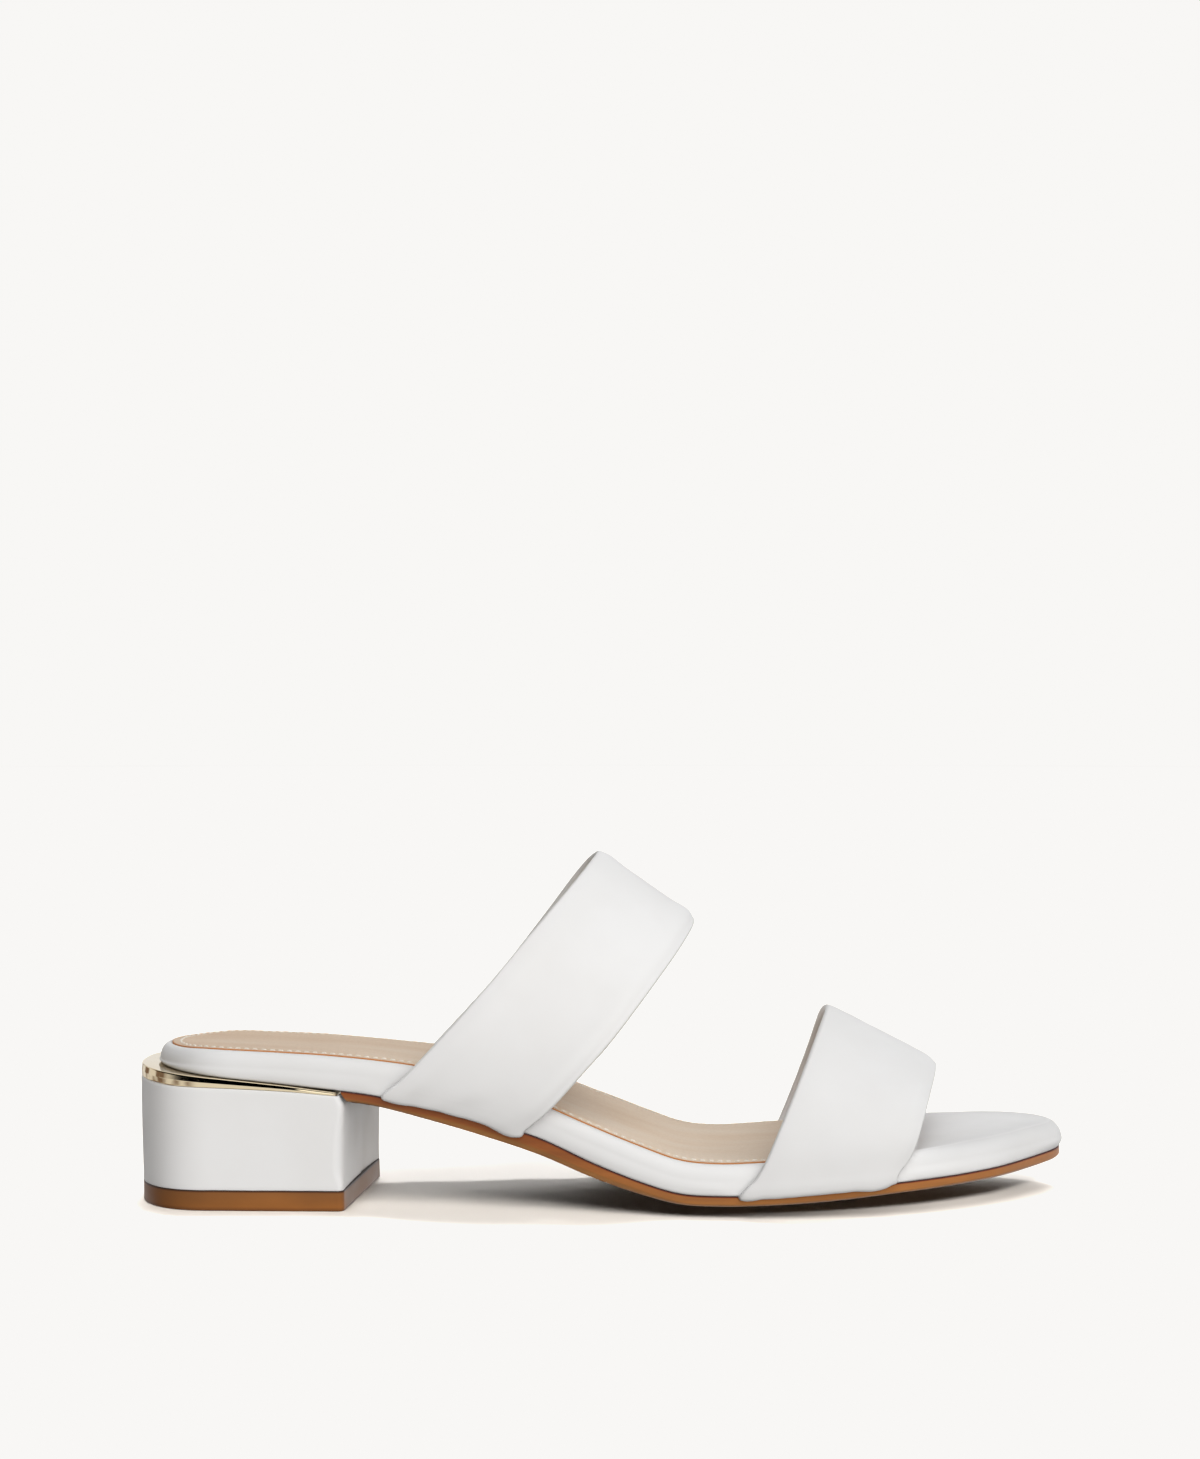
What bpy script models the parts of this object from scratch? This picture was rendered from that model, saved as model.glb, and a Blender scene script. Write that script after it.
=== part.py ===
"""Two-strap dress sandal with a low block heel, right shoe, standing on a floor.

Frame: +X runs from heel to toe, +Y to the medial (big toe) side, +Z up, origin on the floor under the
middle of the shoe. Every named size below is in millimetres; MM turns it into Blender's metres.
"""

import math
from collections import namedtuple

import bmesh
import bpy
from mathutils import Vector

MM = 0.001
GAP = 0.3  # left between two pieces that meet

# ---- driving sizes -------------------------------------------------------------------------------

HEEL_END = -120.0  # back of the footbed
TOE_END = 127.0  # tip of the footbed
HEEL_AXIS_Y = -4.0  # the heel stands a little to the lateral side of the forefoot
TOE_AXIS_Y = 13.0  # the toe tip leans to the medial side
AXIS_FROM, AXIS_TO = -60.0, 80.0  # the middle line crosses over between these
HEEL_CAP = 24.0  # length of the round stretch at the footbed's back
TOE_CAP = 22.0  # length of the round stretch at its tip
HEEL_CAP_POWER = 2.2  # 2 would make the back half an ellipse, as the tip is

ROLL = 2.5  # radius of the footbed's soft top edge
SOCK_INSET = 3.2  # from the footbed's outline to the sock's edge
SOCK_THICK = 1.0
SOCK_RECESS = 0.8  # the footbed's covering is pressed in this far under the sock
SOCK_END = 71.0  # the sock stops under the front strap
SOCK_END_BOW = 9.0  # how far its front edge is bowed
ARCH_RISE = 2.0  # the footbed is higher along the medial arch
ARCH_FROM, ARCH_FULL, ARCH_TO = -68.0, -18.0, 34.0
ARCH_POWER = 2.5  # the rise gathers towards the medial edge
HEEL_CUP = 0.8  # and dished under the heel
CUP_HALF = 22.0  # half the dish's width
CUP_BACK, CUP_FRONT = -122.0, -62.0

FLAT_SHARE = 0.45  # the outsole's flat tread takes this share of its half width
CAMBER_SHANK = 0.5  # its middle is this much lower than its edge in the waist
CAMBER_BALL = 3.4  # and under the ball, where the floor stops it
CAMBER_FROM, CAMBER_FULL, CAMBER_FADE, CAMBER_TO = 4.0, 22.0, 60.0, 120.0
EDGE_BEVEL = 1.0  # on the outsole's lower edge
SEAT_PRESS = 0.8  # depth that a strap's end is pressed into the outsole
SEAT_PRESS_REACH = 6.0

HEEL_BACK = -125.0  # back of the heel, at its rim
HEEL_MIDDLE_Y = -3.2
HEEL_WIDTH = 55.0
HEEL_ROUND = 22.0  # length of the round back of the heel
HEEL_SQUARENESS = 2.3  # 2 would make that back half an ellipse
HEEL_CORNER = 1.6  # rounding of the two edges between the sides and the breast
BREAST_X = -65.0  # front of the heel, on its axis
BREAST_SLANT = 0.06  # the breast lies this much further forward for each millimetre to the medial side
LIFT_HEIGHT = 5.2
RIM_BACK = 3.05  # thickness of the rim plate at the back of the heel
RIM_FRONT = 0.7  # and where it ends at the breast
RIM_BEND = 1.35  # 1 would make it a straight wedge
RIM_FROM, RIM_TO = -113.0, -68.0  # its wedge lies between these
HEEL_TAPER = 0.9  # the heel is this much shorter at its foot, at the back
SCARF = 1.5  # the joint of the outsole's tail and the heel slants back this far
SCARF_DEPTH = 3.2  # over this height
SCARF_GAP = 0.6  # measured along the shoe
TAIL_TURN = 30.0  # the outsole's outline turns to the breast's slant over this length

STRAP_THICK = 2.0
STRAP_WALL = 8.5  # the straps run straight up the footbed's side to this height
LEAN_FROM = 1.2  # above this height a strap leans outwards
TWIST_SCALE = 2.6  # brings the twist curve's largest value to 1
FAR_BOW_SCALE = 6.75  # and the same for the far bow
LEVEL_FROM, LEVEL_TO = 4.0, 16.0  # a strap's edge follows the sole below these heights

OUTLINE_STEPS = 43  # from heel to toe, on each side
CLOSEST = 0.4  # two of those steps are never nearer than this
END_CROWDING = 0.7  # how much closer together those steps are at heel and toe
HEEL_STEPS = 12
HEEL_WALL_STEPS = 4
BREAST_STEPS = 6
CORNER_STEPS = 3
SOCK_FRONT_STEPS = 10
BED_SPINE_BACK, BED_SPINE_FRONT = 20.0, 16.0  # caps close on a line that stops this far from the ends
HEEL_SPINE_BACK, HEEL_SPINE_FRONT = 20.0, 14.0

Station = namedtuple("Station", "x feather top sole")
PROFILE = [  # height of the footbed's bottom edge and of its top, and the outsole's thickness there
    Station(-124.0, 37.3, 42.3, 2.4),
    Station(-105.0, 35.5, 42.3, 2.4),
    Station(-90.0, 34.0, 41.7, 2.4),
    Station(-75.0, 32.4, 40.9, 2.4),
    Station(-60.0, 30.6, 39.6, 2.4),
    Station(-45.0, 27.7, 37.5, 3.1),
    Station(-30.0, 24.2, 33.5, 3.7),
    Station(-15.0, 20.0, 28.7, 4.1),
    Station(0.0, 13.5, 22.6, 3.5),
    Station(12.0, 9.1, 18.0, 2.9),
    Station(22.0, 6.4, 14.8, 2.5),
    Station(32.0, 5.9, 13.9, 2.4),
    Station(45.0, 6.3, 14.4, 2.4),
    Station(60.0, 7.5, 15.5, 2.6),
    Station(80.0, 9.3, 17.0, 2.4),
    Station(100.0, 10.5, 18.6, 2.3),
    Station(116.0, 11.5, 19.3, 2.5),
    Station(128.0, 12.2, 19.3, 2.5),
]

Width = namedtuple("Width", "x lateral medial")
WIDTHS = [  # the footbed's outline before its two ends are rounded
    Width(-122.0, -29.0, 20.5),
    Width(-100.0, -29.4, 21.2),
    Width(-80.0, -29.4, 21.3),
    Width(-60.0, -29.4, 21.2),
    Width(-40.0, -30.1, 21.8),
    Width(-20.0, -32.2, 24.4),
    Width(0.0, -34.8, 28.8),
    Width(20.0, -37.2, 34.0),
    Width(40.0, -38.4, 37.6),
    Width(58.0, -38.0, 38.6),
    Width(80.0, -34.8, 37.0),
    Width(92.0, -29.8, 35.4),
    Width(103.0, -22.4, 33.4),
    Width(113.0, -14.0, 31.8),
    Width(121.0, -8.0, 31.0),
    Width(128.0, -5.0, 30.6),
]

Edge = namedtuple("Edge", "foot_x crest_x crest_z flare bow")
Strap = namedtuple(
    "Strap",
    "back front crest_y skew twist side_pull top_pull flare_reach flare_power lean far_bow far_belly",
)
STRAPS = {  # each edge: where it leaves the sole, where it crosses the top of the foot, and its curve between
    "strap_rear": Strap(
        back=Edge(foot_x=-53.9, crest_x=-0.3, crest_z=92.4, flare=2.8, bow=1.2),
        front=Edge(foot_x=-18.2, crest_x=24.8, crest_z=74.7, flare=3.3, bow=1.9),
        crest_y=2.0,
        skew=1.0,
        twist=0.4,
        side_pull=0.48,
        top_pull=0.52,
        flare_reach=22.0,
        flare_power=1.0,
        lean=(0.24, 0.08),
        far_bow=1.5,
        far_belly=0.0,
    ),
    "strap_front": Strap(
        back=Edge(foot_x=41.0, crest_x=62.7, crest_z=50.0, flare=4.2, bow=0.9),
        front=Edge(foot_x=79.4, crest_x=91.2, crest_z=35.2, flare=2.2, bow=0.1),
        crest_y=2.5,
        skew=7.2,
        twist=0.0,
        side_pull=0.50,
        top_pull=0.52,
        flare_reach=8.0,
        flare_power=1.8,
        lean=(0.02, 0.02),
        far_bow=1.5,
        far_belly=1.2,
    ),
}

Tuck = namedtuple("Tuck", "inset height thickness")
TUCK = [  # the strap's end under the footbed, from its skived tip out to the side wall
    Tuck(6.5, 0.70, 0.7),
    Tuck(3.6, 0.80, 1.0),
    Tuck(1.3, 0.95, 1.5),
    Tuck(0.3, 1.20, 1.8),
    Tuck(-0.3, 1.90, 2.0),
]
TUCK_TOP = (4.2, 6.4)  # heights of two more rows up the side wall
TUCK_REACH = 9.0  # the footbed is thinned this far in from its edge to take the strap ends

Skive = namedtuple("Skive", "inset lift cut")
SKIVE = [  # the footbed's underside near its edge: its height, and how much is cut away over a strap's end
    Skive(TUCK_REACH, 0.0, 0.0),
    Skive(6.8, 0.0, 1.15),
    Skive(1.3, 0.0, 1.4),
    Skive(0.4, 0.1, 1.7),
    Skive(0.0, 0.5, 2.1),
]
SEAT_MARGIN = 1.3  # the thinned stretch is longer than the strap is wide by this, at both its ends
SEAT_RAMP = 0.8  # and rises to the full thickness over this length
ARCH_STEPS = 11  # along each half of a strap's arch
STRAP_STEPS = 6  # across a strap
EDGE_STEPS = 3  # round a strap's turned edge


# ---- curves and heights --------------------------------------------------------------------------

def smooth(rows, column):
    """A smooth curve through a table's column, as a function of x."""
    xs = [row.x for row in rows]
    ys = [getattr(row, column) for row in rows]
    steps = [(ys[i + 1] - ys[i]) / (xs[i + 1] - xs[i]) for i in range(len(xs) - 1)]
    slopes = [steps[0]] + [(a + b) / 2 for a, b in zip(steps, steps[1:])] + [steps[-1]]

    def curve(x):
        x = min(max(x, xs[0]), xs[-1])
        i = max(j for j in range(len(xs) - 1) if xs[j] <= x)
        span = xs[i + 1] - xs[i]
        t = (x - xs[i]) / span
        return (
            ys[i] * (1 + 2 * t) * (1 - t) ** 2
            + ys[i + 1] * (3 - 2 * t) * t**2
            + span * t * (1 - t) * (slopes[i] * (1 - t) - slopes[i + 1] * t)
        )

    return curve


feather = smooth(PROFILE, "feather")
bed_top = smooth(PROFILE, "top")
sole_thickness = smooth(PROFILE, "sole")
lateral_width = smooth(WIDTHS, "lateral")
medial_width = smooth(WIDTHS, "medial")


def ease(t):
    """0 below 0, 1 above 1, and a smooth rise between."""
    t = min(max(t, 0.0), 1.0)
    return t * t * (3 - 2 * t)


def ramp(x, start, end):
    """0 on start's side, 1 on end's side, and a smooth change between."""
    return ease((x - start) / (end - start))


def cap(x):
    """Share of its full width that the footbed has at x: less than 1 only near its two ends."""
    heel = max(0.0, (HEEL_END + HEEL_CAP - x) / HEEL_CAP)
    toe = max(0.0, (x - TOE_END + TOE_CAP) / TOE_CAP)
    return math.sqrt(max(0.0, 1 - heel**HEEL_CAP_POWER)) * math.sqrt(max(0.0, 1 - toe**2))


def axis_y(x):
    """The line that the two round ends close on."""
    return HEEL_AXIS_Y + (TOE_AXIS_Y - HEEL_AXIS_Y) * ramp(x, AXIS_FROM, AXIS_TO)


def side_y(x, side):
    """The footbed's outline at x, on the lateral side (-1) or the medial side (+1)."""
    width = lateral_width(x) if side < 0 else medial_width(x)
    return axis_y(x) + (width - axis_y(x)) * cap(x)


def arch_rise(x, y):
    """How much the medial side of the footbed stands above its lateral side."""
    along = ramp(x, ARCH_FROM, ARCH_FULL) * ramp(x, ARCH_TO, 0)
    across = max(0.0, (y - axis_y(x)) / (medial_width(x) - axis_y(x)))
    return ARCH_RISE * along * across**ARCH_POWER


def bed_height(x, y):
    """Top of the footbed, apart from its rolled edge."""
    middle = max(0.0, 1 - ((y - axis_y(x)) / CUP_HALF) ** 2)
    dish = HEEL_CUP * middle * ramp(x, CUP_FRONT, CUP_FRONT - CUP_HALF) * ramp(x, CUP_BACK, CUP_BACK + 14)
    return bed_top(x) + arch_rise(x, y) - dish


def strap_seat(strap, side):
    """From where to where along the sole a strap's end needs room on that side."""
    shift = strap.skew if side > 0 else 0.0
    first = strap.back.foot_x - strap.back.flare + shift - SEAT_MARGIN
    last = strap.front.foot_x + shift + SEAT_MARGIN
    return first, last


def strap_zone(x, y):
    """1 where a strap end passes between footbed and outsole, 0 elsewhere."""
    side = -1 if y < axis_y(x) else 1
    found = 0.0
    for strap in STRAPS.values():
        first, last = strap_seat(strap, side)
        found = max(found, min(ease((x - first) / SEAT_RAMP + 1), ease((last - x) / SEAT_RAMP + 1)))
    return found


# ---- outlines ------------------------------------------------------------------------------------

Point = namedtuple("Point", "x y spine_x spine_y")


def stations(first, last):
    """Places from heel to toe: closer together at the round ends, and one at each end of a strap's seat."""
    seat_ends = []
    for strap in STRAPS.values():
        for side in (-1, 1):
            start, end = strap_seat(strap, side)
            seat_ends += [start - SEAT_RAMP, start, end, end + SEAT_RAMP]
    kept = []
    for x in sorted(seat_ends):
        if first < x < last and (not kept or x - kept[-1] > CLOSEST):
            kept.append(x)
    places = []
    for i in range(1, OUTLINE_STEPS):
        share = i / OUTLINE_STEPS
        share -= END_CROWDING * math.sin(2 * math.pi * share) / (2 * math.pi)
        places.append(first + (last - first) * share)
    clear = [x for x in places if all(abs(x - other) > SEAT_RAMP for other in kept)]
    return [first] + sorted(clear + kept) + [last]


def bed_outline(first, last):
    """The footbed's outline between two stations, and the spine point that each point closes on."""

    def point(x, side):
        spine = min(max(x, first + BED_SPINE_BACK), last - BED_SPINE_FRONT)
        return Point(x, side_y(x, side), spine, axis_y(spine))

    places = stations(first, last)
    lateral = [point(x, -1) for x in places]
    medial = [point(x, 1) for x in reversed(places)]
    return lateral, medial


def closed_bed_outline():
    lateral, medial = bed_outline(HEEL_END, TOE_END)
    return lateral + medial[1:-1]


def between(a, b, steps):
    """Points inside the straight line from a to b, without its ends."""
    return [
        Point(*(p + (q - p) * i / steps for p, q in zip(a, b)))
        for i in range(1, steps)
    ]


def breast_x(y):
    """Front face of the heel."""
    return BREAST_X + BREAST_SLANT * (y - HEEL_MIDDLE_Y)


def heel_outline(back):
    """The heel's D-shaped outline: a round back, straight sides and a straight, slanting breast."""
    half = HEEL_WIDTH / 2
    spine_back, spine_front = back + HEEL_SPINE_BACK, BREAST_X - HEEL_SPINE_FRONT

    def side_points(side):
        points = []
        for i in range(HEEL_STEPS + 1):
            angle = math.pi / 2 * i / HEEL_STEPS
            x = back + HEEL_ROUND * (1 - math.cos(angle) ** (2 / HEEL_SQUARENESS))
            y = HEEL_MIDDLE_Y + side * half * math.sin(angle) ** (2 / HEEL_SQUARENESS)
            points.append(Point(x, y, spine_back, HEEL_MIDDLE_Y))
        wall_y = HEEL_MIDDLE_Y + side * half
        corner = []
        for i in range(CORNER_STEPS + 1):
            angle = math.pi / 2 * i / CORNER_STEPS
            y = wall_y - side * HEEL_CORNER * (1 - math.cos(angle))
            x = breast_x(y) - HEEL_CORNER * (1 - math.sin(angle))
            corner.append(Point(x, y, spine_front, HEEL_MIDDLE_Y))
        return points + between(points[-1], corner[0], HEEL_WALL_STEPS) + corner

    lateral, medial = side_points(-1), side_points(1)
    breast = between(lateral[-1], medial[-1], BREAST_STEPS)
    return lateral + [p._replace(spine_x=spine_front) for p in breast] + medial[:0:-1]


def inset_ring(outline, inset, share):
    """(x, y) of the outline moved inwards, and then a share of the way to its spine."""
    ring = []
    count = len(outline)
    for i, here in enumerate(outline):
        before, after = outline[i - 1], outline[(i + 1) % count]
        a = Vector((here.x - before.x, here.y - before.y)).normalized()
        b = Vector((after.x - here.x, after.y - here.y)).normalized()
        normal = Vector((-(a.y + b.y), a.x + b.x)).normalized()
        reach = inset / max(0.5, normal.dot(Vector((-a.y, a.x))))
        x, y = here.x + normal.x * reach, here.y + normal.y * reach
        ring.append((x + (here.spine_x - x) * share, y + (here.spine_y - y) * share))
    return ring


# ---- making solids -------------------------------------------------------------------------------

MATERIALS = {  # base colour, roughness, metallic
    "white_leather": ((0.86, 0.86, 0.85), 0.45, 0.0),
    "sock_leather": ((0.58, 0.44, 0.32), 0.6, 0.0),
    "tan_sole": ((0.36, 0.17, 0.07), 0.5, 0.0),
    "gold_metal": ((0.83, 0.68, 0.42), 0.15, 1.0),
    "tan_rubber": ((0.26, 0.12, 0.05), 0.55, 0.0),
}


def material(name):
    made = bpy.data.materials.get(name)
    if made is None:
        colour, roughness, metallic = MATERIALS[name]
        made = bpy.data.materials.new(name)
        made.use_nodes = True
        shader = made.node_tree.nodes["Principled BSDF"]
        shader.inputs["Base Color"].default_value = (*colour, 1)
        shader.inputs["Roughness"].default_value = roughness
        shader.inputs["Metallic"].default_value = metallic
    return made


def add_object(name, mesh_data, material_name, sharp_degrees=35):
    """Links a bmesh, in millimetres, as one smooth-shaded object in metres."""
    bmesh.ops.remove_doubles(mesh_data, verts=mesh_data.verts, dist=0.001)
    bmesh.ops.dissolve_degenerate(mesh_data, edges=mesh_data.edges, dist=0.001)
    bmesh.ops.recalc_face_normals(mesh_data, faces=mesh_data.faces)
    bmesh.ops.scale(mesh_data, vec=(MM, MM, MM), verts=mesh_data.verts)
    mesh = bpy.data.meshes.new(name)
    mesh_data.to_mesh(mesh)
    mesh_data.free()
    mesh.shade_smooth()
    mesh.set_sharp_from_angle(angle=math.radians(sharp_degrees))
    mesh.materials.append(material(material_name))
    made = bpy.data.objects.new(name, mesh)
    bpy.context.scene.collection.objects.link(made)
    return made


def loft(rings, cap_ends=False):
    """A skin over closed rings of equal length, each a list of (x, y, z)."""
    made = bmesh.new()
    rows = [[made.verts.new(point) for point in ring] for ring in rings]
    count = len(rows[0])
    for low, high in zip(rows, rows[1:]):
        for i in range(count):
            j = (i + 1) % count
            made.faces.new((low[i], low[j], high[j], high[i]))
    if cap_ends:
        made.faces.new(rows[0])
        made.faces.new(reversed(rows[-1]))
    return made


def skin(outline, rows):
    """A solid from rows of (inset, share of the way to the spine, height function), from the bottom up."""
    rings = []
    for inset, share, height in rows:
        rings.append([(x, y, height(x, y)) for x, y in inset_ring(outline, inset, share)])
    return loft(rings)


# ---- pieces --------------------------------------------------------------------------------------

def sock_recess(x):
    """Depth of the footbed's recess for the sock, which runs out in front of the sock."""
    return SOCK_RECESS * ease((SOCK_END + 7 - x) / 4)


def footbed():
    """Padded board wrapped in leather, thinned underneath where the strap ends pass."""

    def bottom(lift=0.0, cut=0.0):
        return lambda x, y: feather(x) + lift + cut * strap_zone(x, y)

    def top(drop=0.0):
        return lambda x, y: bed_height(x, y) - drop

    def recessed(x, y):
        return bed_height(x, y) - sock_recess(x)

    rows = [(0, 1, bottom()), (TUCK_REACH, 0.45, bottom())]
    rows += [(skive.inset, 0, bottom(skive.lift, skive.cut)) for skive in SKIVE]
    for angle in (0, 30, 60, 90):
        turn = math.radians(angle)
        rows.append((ROLL * (1 - math.cos(turn)), 0, top(ROLL * (1 - math.sin(turn)))))
    step = SOCK_INSET - GAP
    rows += [(step, 0, top()), (step + 0.1, 0, recessed), (step + 5, 0, recessed)]
    rows += [(step + 5, 0.4, recessed), (step + 5, 0.75, recessed), (0, 1, recessed)]
    return add_object("footbed", skin(closed_bed_outline(), rows), "white_leather", 50)


def sock_outline():
    """The footbed's outline, inset, and closed by a bowed edge under the front strap."""
    full = closed_bed_outline()
    inset = [
        Point(x, y, p.spine_x, p.spine_y)
        for p, (x, y) in zip(full, inset_ring(full, SOCK_INSET, 0))
        if x < SOCK_END - SOCK_END_BOW - 1.5
    ]
    spine_end = SOCK_END - BED_SPINE_FRONT
    spines = [min(p.spine_x, spine_end) for p in inset]
    inset = [p._replace(spine_x=x, spine_y=axis_y(x)) for p, x in zip(inset, spines)]
    last_lateral = max(i for i, p in enumerate(inset) if p.y < axis_y(p.x))
    lateral, medial = inset[: last_lateral + 1], inset[last_lateral + 1 :]
    corner_x = SOCK_END - SOCK_END_BOW
    low, high = lateral_width(corner_x) + SOCK_INSET, medial_width(corner_x) - SOCK_INSET
    front = []
    for i in range(1, SOCK_FRONT_STEPS):
        share = -1 + 2 * i / SOCK_FRONT_STEPS
        x = corner_x + SOCK_END_BOW * (1 - abs(share) ** 2.4)
        y = (low + high) / 2 + share * (high - low) / 2
        front.append(Point(x, y, spine_end, axis_y(spine_end)))
    return lateral + front + medial


def insole_sock():
    """Thin leather sock on the footbed, from the heel to under the front strap."""

    def over_bed(lift):
        return lambda x, y: bed_height(x, y) - SOCK_RECESS + GAP + lift

    under, face, over = over_bed(0), over_bed(SOCK_THICK - 0.2), over_bed(SOCK_THICK)
    rows = [(0, 1, under), (5, 0.5, under), (5, 0, under), (0.1, 0, under), (0, 0, over_bed(0.15))]
    rows += [(0, 0, face), (0.3, 0, over), (5, 0, over), (5, 0.4, over), (5, 0.75, over), (0, 1, over)]
    return add_object("insole_sock", skin(sock_outline(), rows), "sock_leather", 40)


def outsole():
    """Thin sole from the heel's breast to the toe: flat under the ball, cambered towards its edges."""
    tail = BREAST_X + SCARF_GAP - 0.1

    def slanted(p):
        """The outline's point, turned to the breast's slant near the tail."""
        return p._replace(x=p.x + (breast_x(p.y) - BREAST_X) * ramp(p.x, tail + TAIL_TURN, tail))

    lateral, medial = ([slanted(p) for p in half] for half in bed_outline(tail, TOE_END))
    outline = lateral + medial[1:] + between(medial[-1], lateral[0], BREAST_STEPS)

    def tail_shift(x, amount):
        """Slides the tail's end back under the footbed, for the scarf joint with the heel."""
        return x - amount * ramp(x, tail + 8, tail)

    def edge(lift):
        return lambda x, y: feather(x) - GAP - sole_thickness(x) + lift

    def underside(x, y):
        """Bottom face: the edge's height at the rim, on the floor or a little lower towards the middle."""
        rim = feather(x) - GAP - sole_thickness(x)
        across = abs(y - axis_y(x)) / (abs(side_y(x, -1 if y < axis_y(x) else 1) - axis_y(x)) + 0.01)
        ball = ramp(x, CAMBER_FROM, CAMBER_FULL) * ramp(x, CAMBER_TO, CAMBER_FADE)
        drop = CAMBER_SHANK + (CAMBER_BALL - CAMBER_SHANK) * ball
        return max(rim - drop * ramp(across, 1, FLAT_SHARE), 0.0)

    def upper(x, y):
        """Top face, dipped at the rim where a strap end is pressed in."""
        reach = abs(side_y(x, -1 if y < axis_y(x) else 1)) - abs(y)
        return feather(x) - GAP - SEAT_PRESS * strap_zone(x, y) * ramp(reach, SEAT_PRESS_REACH, 0)

    rows = [
        (0, 1, underside, 0),
        (6, 0.72, underside, 0),
        (6, 0.45, underside, 0),
        (6, 0.2, underside, 0),
        (6, 0, underside, 0),
        (EDGE_BEVEL, 0, edge(-0.15), 0),
        (0, 0, edge(EDGE_BEVEL), 0.28 * SCARF),
        (0, 0, lambda x, y: upper(x, y) - 0.25, SCARF),
        (0.25, 0, upper, SCARF),
        (3.5, 0, upper, SCARF),
        (6.5, 0, upper, SCARF),
        (6.5, 0.45, upper, SCARF),
        (0, 1, upper, 0),
    ]
    rings = []
    for inset, share, height, scarf in rows:
        ring = []
        for x, y in inset_ring(outline, inset, share):
            moved = tail_shift(x, scarf)
            ring.append((moved, y, height(moved, y)))
        rings.append(ring)
    return add_object("outsole", loft(rings), "tan_sole", 40)


def heel_top(x):
    """Top of the heel block, under the rim plate, which is a wedge: thick at the back, thin in front."""
    share = min(max((RIM_TO - x) / (RIM_TO - RIM_FROM), 0.0), 1.0)
    return feather(x) - 2 * GAP - RIM_FRONT - (RIM_BACK - RIM_FRONT) * share**RIM_BEND


def heel_rows(low, high, low_bevel, high_bevel):
    """Rows of a D-shaped block between two height functions, with small bevels."""
    return [
        (0, 1, low),
        (low_bevel, 0, low),
        (0, 0, lambda x, y: low(x, y) + low_bevel),
        (0, 0, lambda x, y: high(x, y) - high_bevel),
        (high_bevel, 0, high),
        (0, 1, high),
    ]


def tapered_heel(rows, front_gap=0.0, scarf=False):
    """Rings of the heel, drawn in a little towards the floor at the back, with the breast's scarf cut."""
    outline = heel_outline(HEEL_BACK)
    rings = []
    for inset, share, height in rows:
        ring = []
        for x, y in inset_ring(outline, inset, share):
            z = height(x, y)
            front = ease((x - BREAST_X + 20) / 18)
            x += HEEL_TAPER * (1 - z / feather(HEEL_BACK)) * (1 - front)
            x -= front_gap * front
            if scarf:
                cut = feather(x) - z
                x -= front * SCARF * max(0.0, 1 - (cut - SCARF_GAP) / SCARF_DEPTH)
            ring.append((x, y, z))
        rings.append(ring)
    return loft(rings)


def heel_top_lift():
    """Rubber top piece that the heel stands on."""
    rows = heel_rows(lambda x, y: 0.0, lambda x, y: LIFT_HEIGHT, 0.3, 0.2)
    return add_object("heel_top_lift", tapered_heel(rows), "tan_rubber")


def heel_block():
    """Leather-covered block."""
    rows = heel_rows(lambda x, y: LIFT_HEIGHT + GAP, lambda x, y: heel_top(x), 0.5, 0.4)
    middle = (0, 0, lambda x, y: heel_top(x) - SCARF_DEPTH)
    rows.insert(3, middle)
    return add_object("heel_block", tapered_heel(rows, scarf=True), "white_leather")


def heel_rim():
    """Polished wedge-shaped plate whose edge shows round the footbed."""
    rows = heel_rows(lambda x, y: heel_top(x) + GAP, lambda x, y: feather(x) - GAP, 0.15, 0.4)
    return add_object("heel_rim", tapered_heel(rows, front_gap=SCARF + 0.4), "gold_metal")


def lean_out(strap, side, height):
    """How far a strap leans outwards over the footbed's side, on its way up."""
    return side * strap.lean[side > 0] * max(0.0, height - LEAN_FROM)


def arch_point(strap, side, share, wall_x, crest_height):
    """(y, height) on a strap's inner face, a share of the way from the side wall to the crest."""
    foot_y = side_y(wall_x, side) + side * GAP + lean_out(strap, side, STRAP_WALL)
    rise = crest_height - STRAP_WALL
    reach = foot_y - strap.crest_y
    belly = side * strap.lean[side > 0] * rise * strap.side_pull
    controls = [
        (foot_y, STRAP_WALL),
        (foot_y + belly, STRAP_WALL + rise * strap.side_pull),
        (strap.crest_y + reach * strap.top_pull, crest_height),
        (strap.crest_y, crest_height),
    ]
    weights = [(1 - share) ** 3, 3 * share * (1 - share) ** 2, 3 * share**2 * (1 - share), share**3]
    return tuple(sum(w * c[i] for w, c in zip(weights, controls)) for i in (0, 1))


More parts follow.
